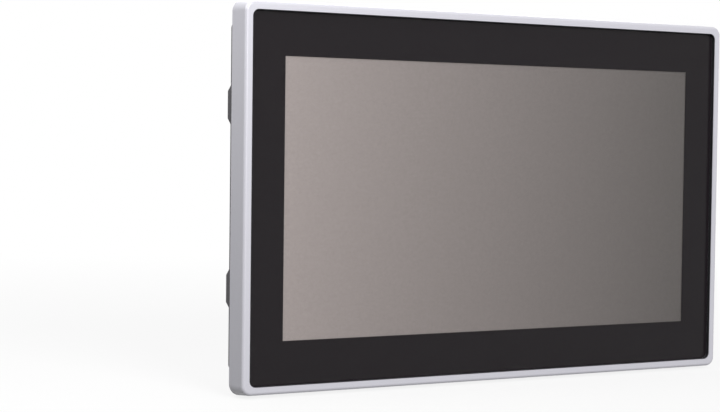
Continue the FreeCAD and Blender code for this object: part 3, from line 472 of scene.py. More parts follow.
def plastic(name, dark, light, grain, rough_low, rough_high, relief):
    """A moulded plastic of two close tones; its grain and relief are in mm."""
    material, tree, surface, place = new_material(name)
    fine = add_node(
        tree, "ShaderNodeTexNoise", {"Scale": 1 / (grain * mm), "Detail": 3.0, "Roughness": 0.6},
        {"Vector": place},
    )
    broad = add_node(
        tree, "ShaderNodeTexNoise", {"Scale": 1 / flow_mark, "Detail": 2.0}, {"Vector": place}
    )
    tone = add_node(
        tree, "ShaderNodeMix", {"data_type": "RGBA", 6: linear(dark), 7: linear(light)},
        {0: broad.outputs["Fac"]},
    )
    gloss = add_node(
        tree, "ShaderNodeMapRange", {**noise_span, "To Min": rough_low, "To Max": rough_high},
        {"Value": fine.outputs["Fac"]},
    )
    craters = add_node(
        tree, "ShaderNodeBump", {"Strength": 0.35, "Distance": relief * mm},
        {"Height": fine.outputs["Fac"]},
    )
    body = add_node(
        tree, "ShaderNodeBsdfPrincipled", {"IOR": 1.54},
        {"Base Color": tone.outputs[2], "Roughness": gloss.outputs[0],
         "Normal": craters.outputs[0]},
    )
    tree.links.new(body.outputs[0], surface)
    return material


spark_textured = plastic(
    "spark_textured_polycarbonate", "#3D3B3F", "#454347", 0.45, 0.55, 0.72, 0.05
)
filled_nylon = plastic("glass_filled_nylon", "#353337", "#403E42", 0.6, 0.38, 0.56, 0.03)
black_insert = plastic("black_insert_plastic", "#1D1C1E", "#252427", 0.5, 0.35, 0.5, 0.02)
grey_plug = plastic("light_grey_polyamide", "#C2BDB8", "#CCC7C2", 0.7, 0.42, 0.55, 0.02)
pale_lever = plastic("off_white_polyamide", "#E6DBD4", "#EDE3DC", 0.7, 0.4, 0.52, 0.02)
cream_header = plastic("cream_header_nylon", "#DDD5C0", "#E6DFCB", 0.7, 0.45, 0.58, 0.02)
card_shell = plastic("card_shell_plastic", "#23262E", "#2B2F38", 0.5, 0.4, 0.55, 0.02)
chip_epoxy = plastic("chip_moulding_epoxy", "#242427", "#2C2C30", 0.3, 0.45, 0.6, 0.02)
seal_rubber = plastic("closed_cell_epdm_rubber", "#1B1B1C", "#242425", 0.8, 0.75, 0.9, 0.12)
grey_pad = plastic("grey_thermal_pad", "#8E8A96", "#9A96A1", 1.0, 0.8, 0.9, 0.05)
print("materials with the plastics", len(bpy.data.materials))

# %% [markdown]
# The metals differ in how they were made. Screws, nuts and connector shells are steel with bright
# nickel, and the inner frame is die-cast aluminium, slightly cloudy from the die's release agent.
# All keep a metal's own reflection, and the difference is in their roughness and its unevenness.

# %% Metals
def metal(name, dark, light, cloud, rough_low, rough_high, relief):
    """A bare or plated metal of two close tones; its clouds and relief are in mm."""
    material, tree, surface, place = new_material(name)
    clouds = add_node(
        tree, "ShaderNodeTexNoise", {"Scale": 1 / (cloud * mm), "Detail": 4.0, "Roughness": 0.6},
        {"Vector": place},
    )
    spread = add_node(tree, "ShaderNodeMapRange", noise_span, {"Value": clouds.outputs["Fac"]})
    tone = add_node(
        tree, "ShaderNodeMix", {"data_type": "RGBA", 6: linear(dark), 7: linear(light)},
        {0: spread.outputs[0]},
    )
    gloss = add_node(
        tree, "ShaderNodeMapRange", {"To Min": rough_low, "To Max": rough_high},
        {"Value": spread.outputs[0]},
    )
    grain = add_node(
        tree, "ShaderNodeBump", {"Strength": 0.2, "Distance": relief * mm},
        {"Height": clouds.outputs["Fac"]},
    )
    body = add_node(
        tree, "ShaderNodeBsdfPrincipled", {"Metallic": 1.0},
        {"Base Color": tone.outputs[2], "Roughness": gloss.outputs[0], "Normal": grain.outputs[0]},
    )
    tree.links.new(body.outputs[0], surface)
    return material


bright_nickel = metal("bright_nickel_plate", "#BDB8B0", "#CFCBC4", 1.5, 0.16, 0.28, 0.01)
cast_frame = metal("die_cast_aluminium", "#9C9DA0", "#ACADB0", 5.0, 0.42, 0.56, 0.05)
extruded_fins = metal("extruded_aluminium", "#A4A5A8", "#B2B3B6", 3.0, 0.3, 0.42, 0.02)
gold_contact = metal("gold_flashed_brass", "#D8B865", "#E6C97A", 0.8, 0.2, 0.3, 0.005)
tinned = metal("tinned_copper_alloy", "#C4C3BF", "#D3D2CE", 0.8, 0.25, 0.38, 0.01)
print("materials with the metals", len(bpy.data.materials))

# %% [markdown]
# The cover and the inner sheet parts are hot-dip galvanised steel. As the zinc sets, it grows flat
# crystals 4 to 9 mm wide, the spangle, and each reflects a little differently. Voronoi cells give
# the crystals: a cell's random colour sets its tone and its roughness, and a fine noise clouds it.

# %% Galvanised sheet
spangle_size = 6.5 * mm
edge_waver, waver_size = 0.004, 5.0 * mm    # how far, and over what length, crystal edges wander
cloud_size = 0.8 * mm

zinc_sheet, tree, surface, place = new_material("galvanised_spangle_sheet")
bent = add_node(
    tree, "ShaderNodeTexNoise", {"Scale": 1 / waver_size, "Detail": 2.0}, {"Vector": place}
)
shifted = add_node(
    tree, "ShaderNodeMix", {"data_type": "VECTOR", 0: edge_waver},
    {4: place, 5: bent.outputs["Color"]},
)
crystals = add_node(
    tree, "ShaderNodeTexVoronoi", {"Scale": 1 / spangle_size}, {"Vector": shifted.outputs[1]}
)
crystal = add_node(tree, "ShaderNodeSeparateColor", None, {"Color": crystals.outputs["Color"]})
zinc_tone = add_node(
    tree, "ShaderNodeMix", {"data_type": "RGBA", 6: linear("#94969A"), 7: linear("#A7A9AD")},
    {0: crystal.outputs[0]},
)
zinc_gloss = add_node(
    tree, "ShaderNodeMapRange", {"To Min": 0.36, "To Max": 0.56}, {"Value": crystal.outputs[1]}
)
fine = add_node(
    tree, "ShaderNodeTexNoise", {"Scale": 1 / cloud_size, "Detail": 2.0}, {"Vector": place}
)
zinc_grain = add_node(
    tree, "ShaderNodeBump", {"Strength": 0.25, "Distance": 0.02 * mm},
    {"Height": fine.outputs["Fac"]},
)
zinc = add_node(
    tree, "ShaderNodeBsdfPrincipled", {"Metallic": 1.0},
    {"Base Color": zinc_tone.outputs[2], "Roughness": zinc_gloss.outputs[0],
     "Normal": zinc_grain.outputs[0]},
)
tree.links.new(zinc.outputs[0], surface)
print("zinc crystals", spangle_size / mm, "mm")

# %% [markdown]
# The mainboard is glass-epoxy laminate under green solder mask. Copper tracks make raised lines
# under the mask, a little lighter green. Bricks turned flat on the board give them: wide runs of
# two near greens with lighter joints. That is enough, because the board shows only through the
# cover's vents.

# %% Circuit board
track_run = 9.0 * mm

solder_mask, tree, surface, place = new_material("green_solder_mask")
tracks = add_node(
    tree, "ShaderNodeTexBrick",
    {"Color1": linear("#1E6B3C"), "Color2": linear("#175830"), "Mortar": linear("#2C8049"),
     "Scale": 1 / track_run, "Mortar Size": 0.06, "Brick Width": 0.9, "Row Height": 0.24},
)
flat_place = add_node(
    tree, "ShaderNodeMapping", {"Rotation": (math.radians(90), 0, 0)}, {"Vector": place}
)
tree.links.new(flat_place.outputs[0], tracks.inputs["Vector"])
ridge = add_node(
    tree, "ShaderNodeBump", {"Strength": 0.3, "Distance": 0.05 * mm},
    {"Height": tracks.outputs["Fac"]},
)
mask = add_node(
    tree, "ShaderNodeBsdfPrincipled", {"Roughness": 0.34, "IOR": 1.5},
    {"Base Color": tracks.outputs["Color"], "Normal": ridge.outputs[0]},
)
tree.links.new(mask.outputs[0], surface)
print("circuit board: runs of", round(track_run / mm, 1), "mm")

# %% [markdown]
# Films and sheets are thin, and most of them lie inside: the flat cables' amber polyimide, the
# black foam tape, the display's milky light guide and the touch sensor's clear glass. The sensor
# lies in front of the display and lets nearly all light through, so it is a faint unevenness only.

# %% Films and light guide
film_amber = plastic("amber_polyimide_film", "#A8662A", "#B87432", 2.0, 0.3, 0.4, 0.01)
foam_tape = plastic("black_foam_tape", "#121213", "#1A1A1B", 0.8, 0.85, 0.95, 0.05)
diffuser = plastic("white_diffuser_acrylic", "#E2E4E4", "#EAECEC", 2.0, 0.3, 0.4, 0.01)

coating_patch = 3.0 * mm
touch_film, tree, surface, place = new_material("clear_sensor_glass")
patches = add_node(
    tree, "ShaderNodeTexNoise", {"Scale": 1 / coating_patch, "Detail": 1.0}, {"Vector": place}
)
faint = add_node(
    tree, "ShaderNodeMix",
    {"data_type": "RGBA", 6: linear("#FAFAFA"), 7: linear("#FDFDFD")}, {0: patches.outputs["Fac"]},
)
through = add_node(tree, "ShaderNodeBsdfTransparent", None, {"Color": faint.outputs[2]})
tree.links.new(through.outputs[0], surface)
print("materials", len(bpy.data.materials))

# %% [markdown]
# Every piece of the construction has a finish slot that says what it is made of. One table gives
# each slot its material, and the pieces are dressed by it. What is modelled later is dressed by the
# same table, so equal parts always match.

# %% A material for each slot
finish_of = {
    "frame_paint": powder_coat, "front_glass": etched_glass, "black_print": ceramic,
    "touch_glass": touch_film, "black_tape": foam_tape, "display_face": polariser,
    "light_guide": diffuser, "sheet_steel": zinc_sheet, "cast_aluminium": cast_frame,
    "seal_rubber": seal_rubber, "housing_plastic": spark_textured, "cover_steel": zinc_sheet,
    "board": solder_mask, "chip": chip_epoxy, "pad": grey_pad, "sink_aluminium": extruded_fins,
    "black_plastic": black_insert, "cream_plastic": cream_header, "cable_film": film_amber,
    "plated_steel": bright_nickel, "contact_brass": gold_contact, "card_plastic": card_shell,
    "plug_plastic": grey_plug, "lever_plastic": pale_lever, "clamp_plastic": filled_nylon,
}
for name, node in nodes.items():
    node.data.materials.clear()
    node.data.materials.append(finish_of[slot_of[name]])
print("nodes dressed", len(nodes))

# %% [markdown]
# Moulded, cast and pressed parts have no knife-sharp edges: each catches a thin line of light.
# The construction's pieces are loose triangles, so a copy is merged, its flat faces are joined
# again, and a small bevel rounds the edges. The copy then stands for the construction's piece.

# %% Copying and rounding
weld_gap = 0.002 * mm
flat_within = math.radians(1)
any_shape = math.radians(180)
sharp_from = math.radians(30)


def hand_over(piece, body, slot, material=None):
    """Give a finished piece its body and its material, which its finish slot chooses unless one is
    given.
    """
    piece.data.materials.clear()
    piece.data.materials.append(material or finish_of[slot])
    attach(piece, body)


def merged_copy(node):
    """A copy of a construction piece whose loose triangles are joined into faces."""
    clear_bench()
    piece = nodes[node].copy()
    piece.data = nodes[node].data.copy()
    piece.name = f"{node}_finished"
    piece.parent = None
    for key in list(piece.keys()):
        del piece[key]
    bpy.context.scene.collection.objects.link(piece)
    open_mesh(piece, "VERT")
    bpy.ops.mesh.select_all(action="SELECT")
    bpy.ops.mesh.remove_doubles(threshold=weld_gap)
    bpy.ops.mesh.customdata_custom_splitnormals_clear()
    bpy.ops.mesh.tris_convert_to_quads(face_threshold=flat_within, shape_threshold=any_shape)
    close_mesh()
    return piece


def round_edges(piece, edge, segments=2):
    """Round a piece's edges to a radius in metres and shade it like a moulding."""
    apply_modifier(
        piece, "BEVEL", width=edge, segments=segments, limit_method="ANGLE",
        angle_limit=sharp_from, use_clamp_overlap=True, miter_outer="MITER_ARC",
    )
    smooth(piece)
    apply_modifier(piece, "WEIGHTED_NORMAL", keep_sharp=True)


print("edges are rounded from", round(math.degrees(sharp_from)), "degrees on")

# %% [markdown]
# Each process leaves its own radius. Sheet metal bends round tightly, die casting and moulding
# need a wider round so that the melt flows, and a clamp's arch has the widest. The table gives
# each piece its radius in millimetres, and one loop makes all the copies.

# %% Rounded pieces
corners = ("top_left", "top_right", "bottom_left", "bottom_right")
rounded = {
    "rear_cover": 0.2, "mounting_frame": 0.3, "panel_gasket": 0.25,
    "power_header": 0.2, "heat_sink": 0.15, "card_slot": 0.1, "memory_card": 0.25,
    "ethernet_socket_1": 0.15, "ethernet_socket_2": 0.15, "usb_socket": 0.15, "usb_tongues": 0.12,
    "serial_shell": 0.2, "serial_insert": 0.15, "processor": 0.2, "coin_holder": 0.2,
    "cable_headers": 0.2, "display_tray": 0.3, "display_brackets": 0.2, "front_bezel": 0.2,
    "serial_posts": 0.15, "clamp_nuts": 0.2, "power_pins": 0.15, "coin_cell": 0.3,
}
rounded.update({f"plug_lever_{n}": 0.3 for n in range(1, 5)})
rounded.update({f"clamp_{corner}": 0.35 for corner in corners})
rounded.update({f"cap_{corner}": 0.3 for corner in corners})
face_counts = []
for node, edge in rounded.items():
    piece = merged_copy(node)
    round_edges(piece, edge * mm)
    hand_over(piece, body_of[node], slot_of[node])
    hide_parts(node)
    face_counts.append(len(piece.data.polygons))
print("finished copies", len(face_counts), "most faces", max(face_counts))

# %% [markdown]
# The black print lies in the same plane as the back of the glass. Two surfaces in one plane would
# show by turns, so the copy's front is set back by less than the thickness of the ink. The ink also
# wets the glass right to its ground edge, so each side's outer points move out to it.

# %% Print behind the glass
print_setback = 0.03 * mm
print_spread = 0.42 * mm
outer_points = 6.0 * mm    # a side's points, with those of its rounded corners, lie this near


def pick_facing(piece, x=0, y=0, z=0):
    """Select the faces that look one way, such as y=-1 for the front."""
    way = Vector((x, y, z))
    return pick(piece, "faces", lambda face: face.normal.dot(way) > 0.9)


ink = merged_copy("glass_mask")
open_mesh(ink)
front_faces = pick_facing(ink, y=-1)
bpy.ops.transform.translate(value=(0, print_setback, 0))
bpy.ops.mesh.select_mode(type="VERT")
ink_low, ink_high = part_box("glass_mask")
for axis in (0, 2):
    for side, end in ((-1, ink_low[axis]), (1, ink_high[axis])):
        pick(ink, "verts", lambda vert: abs(vert.co[axis] - end) < outer_points)
        step = [0, 0, 0]
        step[axis] = side * print_spread
        bpy.ops.transform.translate(value=step)
close_mesh()
hand_over(ink, "panel", "black_print")
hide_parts("glass_mask")
print("print faces set back", front_faces, "size in mm", [round(v / mm, 2) for v in ink.dimensions])

# %% [markdown]
# The rear housing, its two connector bays and its ten clamp sockets are one injection moulding.
# The construction holds them as four pieces, so their copies are welded into one here, and the
# bevel then runs on from wall to socket without a seam, as it does in the real moulding.

# %% Rear housing in one piece
housing_round = 0.4 * mm
seam_gap = 0.005 * mm


def join_solids(piece, others):
    """Weld other copies into this one and take them away."""
    for other in others:
        apply_modifier(piece, "BOOLEAN", object=other, operation="UNION", solver="EXACT")
        bpy.data.objects.remove(other)


housing = merged_copy("rear_housing")
housing_parts = ["connector_bay_left", "connector_bay_right", "clamp_sockets"]
join_solids(housing, [merged_copy(node) for node in housing_parts])
open_mesh(housing, "VERT")
bpy.ops.mesh.select_all(action="SELECT")
bpy.ops.mesh.remove_doubles(threshold=seam_gap)
close_mesh()
faces_welded = len(housing.data.polygons)
round_edges(housing, housing_round)
hand_over(housing, "panel", "housing_plastic")
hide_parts("rear_housing", *housing_parts)
print("housing faces", faces_welded, "rounded", len(housing.data.polygons))

# %% [markdown]
# Screws, nuts and contacts start as bar or block stock, as they do in a workshop, and are then
# cut, drawn out and rounded. Stock is added straight in its place, in millimetres, along the
# screws' own direction, which is front to rear. A piece that repeats is made once and copied.

# %% Stock and cutters
def named_stock(name):
    """The primitive just added, named and with its place in its mesh."""
    piece = bpy.context.object
    piece.name = name
    settle(piece)
    return piece


def bar_stock(name, radius, front, rear, sides=32):
    """A round or many-sided bar about the Y axis, from its front to its rear end in mm."""
    clear_bench()
    bpy.ops.mesh.primitive_cylinder_add(
        vertices=sides, radius=radius * mm, depth=(rear - front) * mm,
        location=(0, (front + rear) / 2 * mm, 0), rotation=(-math.pi / 2, 0, 0),
    )
    return named_stock(name)


def block_stock(name, low, high):
    """A block between two corners in mm."""
    clear_bench()
    bpy.ops.mesh.primitive_cube_add(
        size=1.0, location=[(a + b) / 2 * mm for a, b in zip(low, high)],
        scale=[(b - a) * mm for a, b in zip(low, high)],
    )
    return named_stock(name)


def cut(piece, *tools):
    """Cut tools out of a piece and take them away."""
    for tool in tools:
        apply_modifier(piece, "BOOLEAN", object=tool, operation="DIFFERENCE", solver="EXACT")
        bpy.data.objects.remove(tool)


def round_rim(piece, end, edge, segments):
    """Round the rim at a bar's end; the end's Y and the radius are in mm."""
    open_mesh(piece, "EDGE")
    pick(piece, "edges", lambda rim: all(abs(v.co.y - end * mm) < 0.05 * mm for v in rim.verts))
    bpy.ops.mesh.bevel(offset=edge * mm, segments=segments)
    close_mesh()


print("along the stock, the part runs from", round(cad_low.y / mm, 1), "to",
      round(cad_high.y / mm, 1), "mm")

# %% [markdown]
# Copies are placed by a shift in millimetres and a turn about the screws' direction, and equal
# small pieces that stay together become one object. A construction piece's own box tells where
# what belongs to it has to stand.

# %% Copies and places
def join(*pieces):
    """Make several pieces one object, under the first one's name."""
    take(*pieces)
    bpy.ops.object.join()
    return pieces[0]


def turned(piece, degrees):
    """Turn a piece's mesh about the Y axis."""
    piece.data.transform(Matrix.Rotation(math.radians(degrees), 4, "Y"))
    return piece


def copy_at(piece, name, shift):
    """A copy with its own mesh, moved by a shift in mm."""
    twin = piece.copy()
    twin.data = piece.data.copy()
    twin.name = name
    twin.data.transform(Matrix.Translation(Vector(shift) * mm))
    bpy.context.scene.collection.objects.link(twin)
    return twin


def set_of(piece, name, shifts, slot, material=None):
    """One object on the panel of copies at each shift in mm; the pattern is taken away."""
    twins = [copy_at(piece, f"{name}_{i}", shift) for i, shift in enumerate(shifts)]
    bpy.data.objects.remove(piece)
    whole = join(*twins)
    whole.name = name
    hand_over(whole, "panel", slot, material)
    return whole


def node_box(node):
    """The two corners of a construction piece's box, in mm."""
    return [Vector(corner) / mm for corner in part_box(node)]


def node_middle(node):
    """The middle of a construction piece's box, in mm."""
    low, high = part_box(node)
    return (Vector(low) + Vector(high)) / (2 * mm)


print("plug's middle", [round(v, 2) for v in node_middle("plug_body")], "mm")

# %% [markdown]
# A thread is a ridge of three-sided section wound round the shank, 0.7 mm further on for each
# turn on these M4 screws. It could be a bump in the material, but a clamp screw stands in full
# view behind the frame, so its thread is real: a triangle on the bench, wound by the screw
# modifier, its two open ends closed and its normals set once the winding is done.

# %% Thread ridge
m4_root, m4_crest, m4_pitch = 1.6, 2.0, 0.7
ridge_share = 0.82    # of the pitch; the rest is the flat between two ridges


def thread_ridge(name, crest, pitch, front, rear, steps=16, inward=False):
    """A sixty-degree ridge about the Y axis with its crest at a radius, all in mm."""
    reach = ridge_share * pitch / math.sqrt(3)
    side = -1 if inward else 1
    clear_bench()
    bpy.ops.mesh.primitive_circle_add(
        vertices=3, radius=reach * mm, fill_type="NOTHING", rotation=(0, 0, -side * math.pi / 2),
        location=((crest - side * reach) * mm, front * mm, 0),
    )
    ridge = named_stock(name)
    apply_modifier(
        ridge, "SCREW", axis="Y", angle=math.tau, screw_offset=pitch * mm,
        iterations=int((rear - front) / pitch), steps=steps, render_steps=steps,
    )
    open_mesh(ridge, "VERT")
    bpy.ops.mesh.select_all(action="SELECT")
    bpy.ops.mesh.fill_holes(sides=3)
    bpy.ops.mesh.select_all(action="SELECT")
    bpy.ops.mesh.normals_make_consistent(inside=False)
    close_mesh()
    return ridge


print("ridge", round(ridge_share * m4_pitch, 3), "mm wide at its foot")

# %% [markdown]
# Each clamp has an M4 set screw 28 mm long. Its front end is turned down to a journal that runs
# in the plastic thrust cap, and a 2 mm key fits its rear end. The screw is drawn once: a bar at
# the thread's root, its front face inset and drawn out to the journal, its rear rim chamfered,
# the key's six-sided hole cut, and the ridge wound on. Each of the four then rides on its joint.

# %% Clamp screws
screw_front, screw_rear = 9.05, 34.95
journal_step, journal_length = 0.4, 2.1
key_corner, key_depth = 1.155, 2.5    # half of a 2 mm hexagon's width across its corners
thread_shade = 35

set_screw = bar_stock("set_screw", m4_root, screw_front, screw_rear, 24)
open_mesh(set_screw)
pick_facing(set_screw, y=-1)
bpy.ops.mesh.inset(thickness=journal_step * mm)
bpy.ops.mesh.extrude_region_move(TRANSFORM_OT_translate={"value": (0, -journal_length * mm, 0)})
close_mesh()
round_rim(set_screw, screw_rear, 0.3, segments=2)
cut(set_screw, bar_stock("key_hole", key_corner, screw_rear - key_depth, 36.0, 6))
smooth(set_screw, thread_shade)
ridge = thread_ridge("set_screw_thread", m4_crest, m4_pitch, 9.4, 34.5)
smooth(ridge, thread_shade)
join(set_screw, ridge)
for corner in corners:
    middle = node_middle(f"screw_{corner}")
    screw = copy_at(set_screw, f"clamp_screw_{corner}_threaded", (middle.x, 0, middle.z))
    hand_over(screw, f"clamp_screw_{corner}", "plated_steel")
    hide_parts(f"screw_{corner}")
bpy.data.objects.remove(set_screw)
print("clamp screws", len(corners), "faces each", len(screw.data.polygons))

# %% [markdown]
# The earth terminal starts with a stepped M4 stud. Its thicker plain shank fills the washer and the
# nut, and the thread begins behind them. Both rims that show are chamfered, so that an eyelet and
# a second nut find their way on.

# %% Earth stud
shank_radius = 2.4
stud_low, stud_high = node_box("earth_stud")
nut_low, nut_high = node_box("earth_nut")
stud_middle = node_middle("earth_stud")
to_stud = Matrix.Translation(Vector((stud_middle.x, 0, stud_middle.z)) * mm)

stud = bar_stock("earth_stud_threaded", m4_root, nut_high.y - 0.5, stud_high.y, 24)
round_rim(stud, stud_high.y, 0.5, segments=2)
shank_rear = nut_high.y - 0.02
shank = bar_stock("earth_shank", shank_radius, stud_low.y, shank_rear, 32)
round_rim(shank, shank_rear, 0.3, segments=2)
ridge = thread_ridge("earth_thread", m4_crest, m4_pitch, nut_high.y + 0.1, stud_high.y - 0.5)
stud = join(stud, shank, ridge)
smooth(stud, thread_shade)
stud.data.transform(to_stud)
hand_over(stud, "panel", "plated_steel")
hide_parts("earth_stud")
print("stud faces", len(stud.data.polygons))

# %% [markdown]
# The nut's corners are turned off at both faces: the shape where a six-sided bar meets a bevelled
# disc, so it is made as that intersection. The washer's teeth are drawn out from every second face
# of a disc and twisted a little, so that they bite the frame.

# %% Earth nut and toothed washer
disc_radius, disc_bevel = 4.02, 0.55
tooth_faces, tooth_reach, tooth_twist = 28, 0.85, 5

nut = merged_copy("earth_nut")
disc = bar_stock("nut_disc", disc_radius, nut_low.y, nut_high.y, 48)
open_mesh(disc, "EDGE")
pick(disc, "edges", lambda edge: edge.calc_face_angle(0) > 1.0)    # radians: both rims
bpy.ops.mesh.bevel(offset=disc_bevel * mm, segments=3)
close_mesh()
disc.data.transform(to_stud)
apply_modifier(nut, "BOOLEAN", object=disc, operation="INTERSECT", solver="EXACT")
bpy.data.objects.remove(disc)
smooth(nut, 28)
hand_over(nut, "panel", "plated_steel")
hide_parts("earth_nut")

washer_low, washer_high = node_box("earth_washer")
washer = bar_stock(
    "earth_washer_toothed", 3.9, washer_low.y + 0.1, washer_high.y - 0.1, tooth_faces
)
open_mesh(washer)
step = math.tau / tooth_faces
pick(washer, "faces", lambda face: abs(face.normal.y) < 0.1
     and round(math.atan2(face.normal.z, face.normal.x) / step - 0.5) % 2 == 0)
bpy.ops.mesh.extrude_region_shrink_fatten(
    TRANSFORM_OT_shrink_fatten={"value": tooth_reach * mm}
)
bpy.ops.transform.rotate(
    value=math.radians(tooth_twist), orient_axis="Y", center_override=(0, washer_low.y * mm, 0)
)
close_mesh()
cut(washer, bar_stock("washer_bore", shank_radius, washer_low.y - 1, washer_high.y + 1, 32))
washer.data.transform(to_stud)
smooth(washer, 30)
hand_over(washer, "panel", "plated_steel")
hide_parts("earth_washer")
print("nut faces", len(nut.data.polygons), "washer faces", len(washer.data.polygons))

# %% [markdown]
# Eight pan-head screws at the bottom of the housing's round recesses hold it to the frame, and
# six more hold the sheet cover. A pan head is a short bar with a generous round over its rim and
# a cross recess. The recess's two wedges taper downwards: blocks whose lower face is drawn in.

# %% Housing and cover screws
rim_share = 0.42                          # the head's round, as a share of its height
recess_reach, recess_floor = 0.62, 0.4    # shares of the head's radius and height
recess_half = 0.3


def pan_screw(name, radius, height):
    """A pan-head screw with a cross recess, its underside at Y = 0."""
    head = bar_stock(name, radius, 0.0, height, 32)
    round_rim(head, height, rim_share * height, segments=5)
    for turn in (0, 90):
        wedge = block_stock(
            "wedge", (-recess_reach * radius, recess_floor * height, -recess_half),
            (recess_reach * radius, height + 0.5, recess_half),
        )
        open_mesh(wedge)
        pick_facing(wedge, y=-1)
        bpy.ops.transform.resize(value=(0.45, 1, 0.7))
        close_mesh()
        cut(head, turned(wedge, turn))
    smooth(head, 30)
    return head


column_floor = 5.0
column_places = [(x, z) for x in (-183.25, 183.25) for z in (-98.0, 98.0)]
column_places += [(-70.0, 112.5), (70.0, 112.5), (-121.0, -112.5), (121.0, -112.5)]
housing_screws = set_of(
    pan_screw("pan_screw", 2.75, 2.0), "housing_screws",
    [(x, column_floor, z) for x, z in column_places], "plated_steel",
)
cover_rear = node_box("rear_cover")[1].y
set_of(
    pan_screw("cover_screw", 2.6, 1.5), "cover_screws",
    [(x, cover_rear, z) for x in (-142.0, 0.0, 142.0) for z in (-67.0, 67.0)], "plated_steel",
)
print("housing screws", len(column_places), "faces", len(housing_screws.data.polygons))

# %% [markdown]
# The plug's wire entries have funnels that guide a stranded wire, and shallow grooves mark off its
# four poles. Both are cut from a copy of the plug before its edges are rounded. A funnel's cutter
# is a bar whose inner end is drawn in, stood up on end, because the wires enter from below.

# %% Spring plug
standing = Matrix.Rotation(math.radians(90), 4, "X")
funnel_radius, funnel_depth, funnel_throat = 1.95, 0.9, 0.66
groove_half, groove_depth = 0.2, 0.25
groove_margin, groove_top = 1.2, -106.5

plug_low, plug_high = node_box("plug_body")
pole_x = [node_middle(f"plug_lever_{n}").x for n in range(1, 5)]
entry_y = node_middle("plug_contacts").y
plug = merged_copy("plug_body")
for x in pole_x:
    funnel = bar_stock("funnel", funnel_radius, plug_low.z - 1.0, plug_low.z + funnel_depth, 24)
    open_mesh(funnel)
    pick_facing(funnel, y=1)
    bpy.ops.transform.resize(value=(funnel_throat, 1, funnel_throat))
    close_mesh()
    funnel.data.transform(Matrix.Translation(Vector((x, entry_y, 0)) * mm) @ standing)
    cut(plug, funnel)
for x in [(a + b) / 2 for a, b in zip(sorted(pole_x), sorted(pole_x)[1:])]:
    for y in (plug_low.y, plug_high.y):
        cut(plug, block_stock(
            "groove", (x - groove_half, y - groove_depth, plug_low.z + groove_margin),
            (x + groove_half, y + groove_depth, groove_top),
        ))
round_edges(plug, 0.2 * mm)
hand_over(plug, "power_plug", "plug_plastic")
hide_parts("plug_body")
print("plug faces", len(plug.data.polygons), "poles", [round(x, 2) for x in pole_x])

# %% [markdown]
# Behind each network jack's steel mouth sits a black insert with eight gilded spring wires, and
# two light windows flank the latch's notch. The insert is a block whose lower face is inset and
# pushed in, so its walls keep one thickness. A wire is a bar that rises towards its rear end.

# %% Network jacks
jack_mouth_front, jack_mouth_rear, bay_ceiling = 6.4, 14.6, -105.0
insert_half, insert_wall, insert_pocket = 5.88, 0.4, 14.1
notch_half, notch_front, notch_rear = 2.1, 14.0, 15.5
wire_count, wire_pitch, wire_half, wire_rise = 8, 1.02, 0.26, 2.6
window_side, window_half, window_front, window_rear = 5.0, 1.6, 15.3, 17.2
green_window = plastic("milky_green_acrylic", "#A9C7A6", "#B7D2B2", 1.0, 0.2, 0.3, 0.005)
amber_window = plastic("milky_amber_acrylic", "#DCC389", "#E6CF9B", 1.0, 0.2, 0.3, 0.005)
for number in (1, 2):
    x = node_middle(f"ethernet_socket_{number}").x
    insert = block_stock(
        f"jack_{number}_insert", (x - insert_half, jack_mouth_front + 0.02, bay_ceiling + 0.35),
        (x + insert_half, jack_mouth_rear - 0.02, bay_ceiling + 14.95),
    )
    open_mesh(insert)
    pick_facing(insert, z=-1)
    bpy.ops.mesh.inset(thickness=insert_wall * mm)
    bpy.ops.transform.translate(value=(0, 0, insert_pocket * mm))
    close_mesh()
    cut(insert, block_stock(
        "notch", (x - notch_half, notch_front, bay_ceiling - 1),
        (x + notch_half, notch_rear, bay_ceiling + 13.5),
    ))
    round_edges(insert, 0.08 * mm, segments=1)
    hand_over(insert, "panel", "black_plastic")

    wire = block_stock(
        "wire", (-wire_half, 6.7, bay_ceiling + 3.8), (wire_half, 7.1, bay_ceiling + 14.4)
    )
    open_mesh(wire)
    pick_facing(wire, z=1)
    bpy.ops.transform.translate(value=(0, wire_rise * mm, 0))
    close_mesh()
    round_edges(wire, 0.08 * mm, segments=1)
    wires = set_of(
        wire, f"jack_{number}_wires",
        [(x + (i - (wire_count - 1) / 2) * wire_pitch, 0, 0) for i in range(wire_count)],
        "contact_brass",
    )

    for side, tint in ((-1, green_window), (1, amber_window)):
        middle = x + side * window_side
        window = block_stock(
            f"jack_{number}_{'left' if side < 0 else 'right'}_light",
            (middle - window_half, window_front, bay_ceiling - 0.15),
            (middle + window_half, window_rear, bay_ceiling + 0.6),
        )
        round_edges(window, 0.2 * mm, segments=3)
        hand_over(window, "panel", "light_guide", tint)
print("jacks", number, "wires each", wire_count, "faces", len(wires.data.polygons))

# %% [markdown]
# The USB tongues carry four gilded pads each. A pad is a thin block with its edges just broken,
# copied along both tongues.

# %% USB pads
usb_x = node_middle("usb_socket").x
pad = block_stock("pad", (-0.55, 0.0, bay_ceiling + 2.3), (0.55, 0.13, bay_ceiling + 10.0))
round_edges(pad, 0.05 * mm, segments=1)
usb_pads = set_of(
    pad, "usb_pads",
    [(usb_x + dx, y, 0) for y in (8.38, 15.58) for dx in (-3.6, -1.2, 1.2, 3.6)],
    "contact_brass",
)
print("pad faces", len(usb_pads.data.polygons))

# %% [markdown]
# The serial port's pins are round and domed at their tips, in a row of five and a row of four. Its
# two posts are hexagons with a finer thread inside, made with the same winding, only with the
# triangle's crest turned towards the axis.

# %% Serial pins and posts
pin_radius, pin_pitch, row_half = 0.5, 2.76, 1.42
pin_tip, pin_root = bay_ceiling - 6.6, bay_ceiling - 2.0
post_side, post_crest, post_pitch = 12.5, 1.02, 0.64

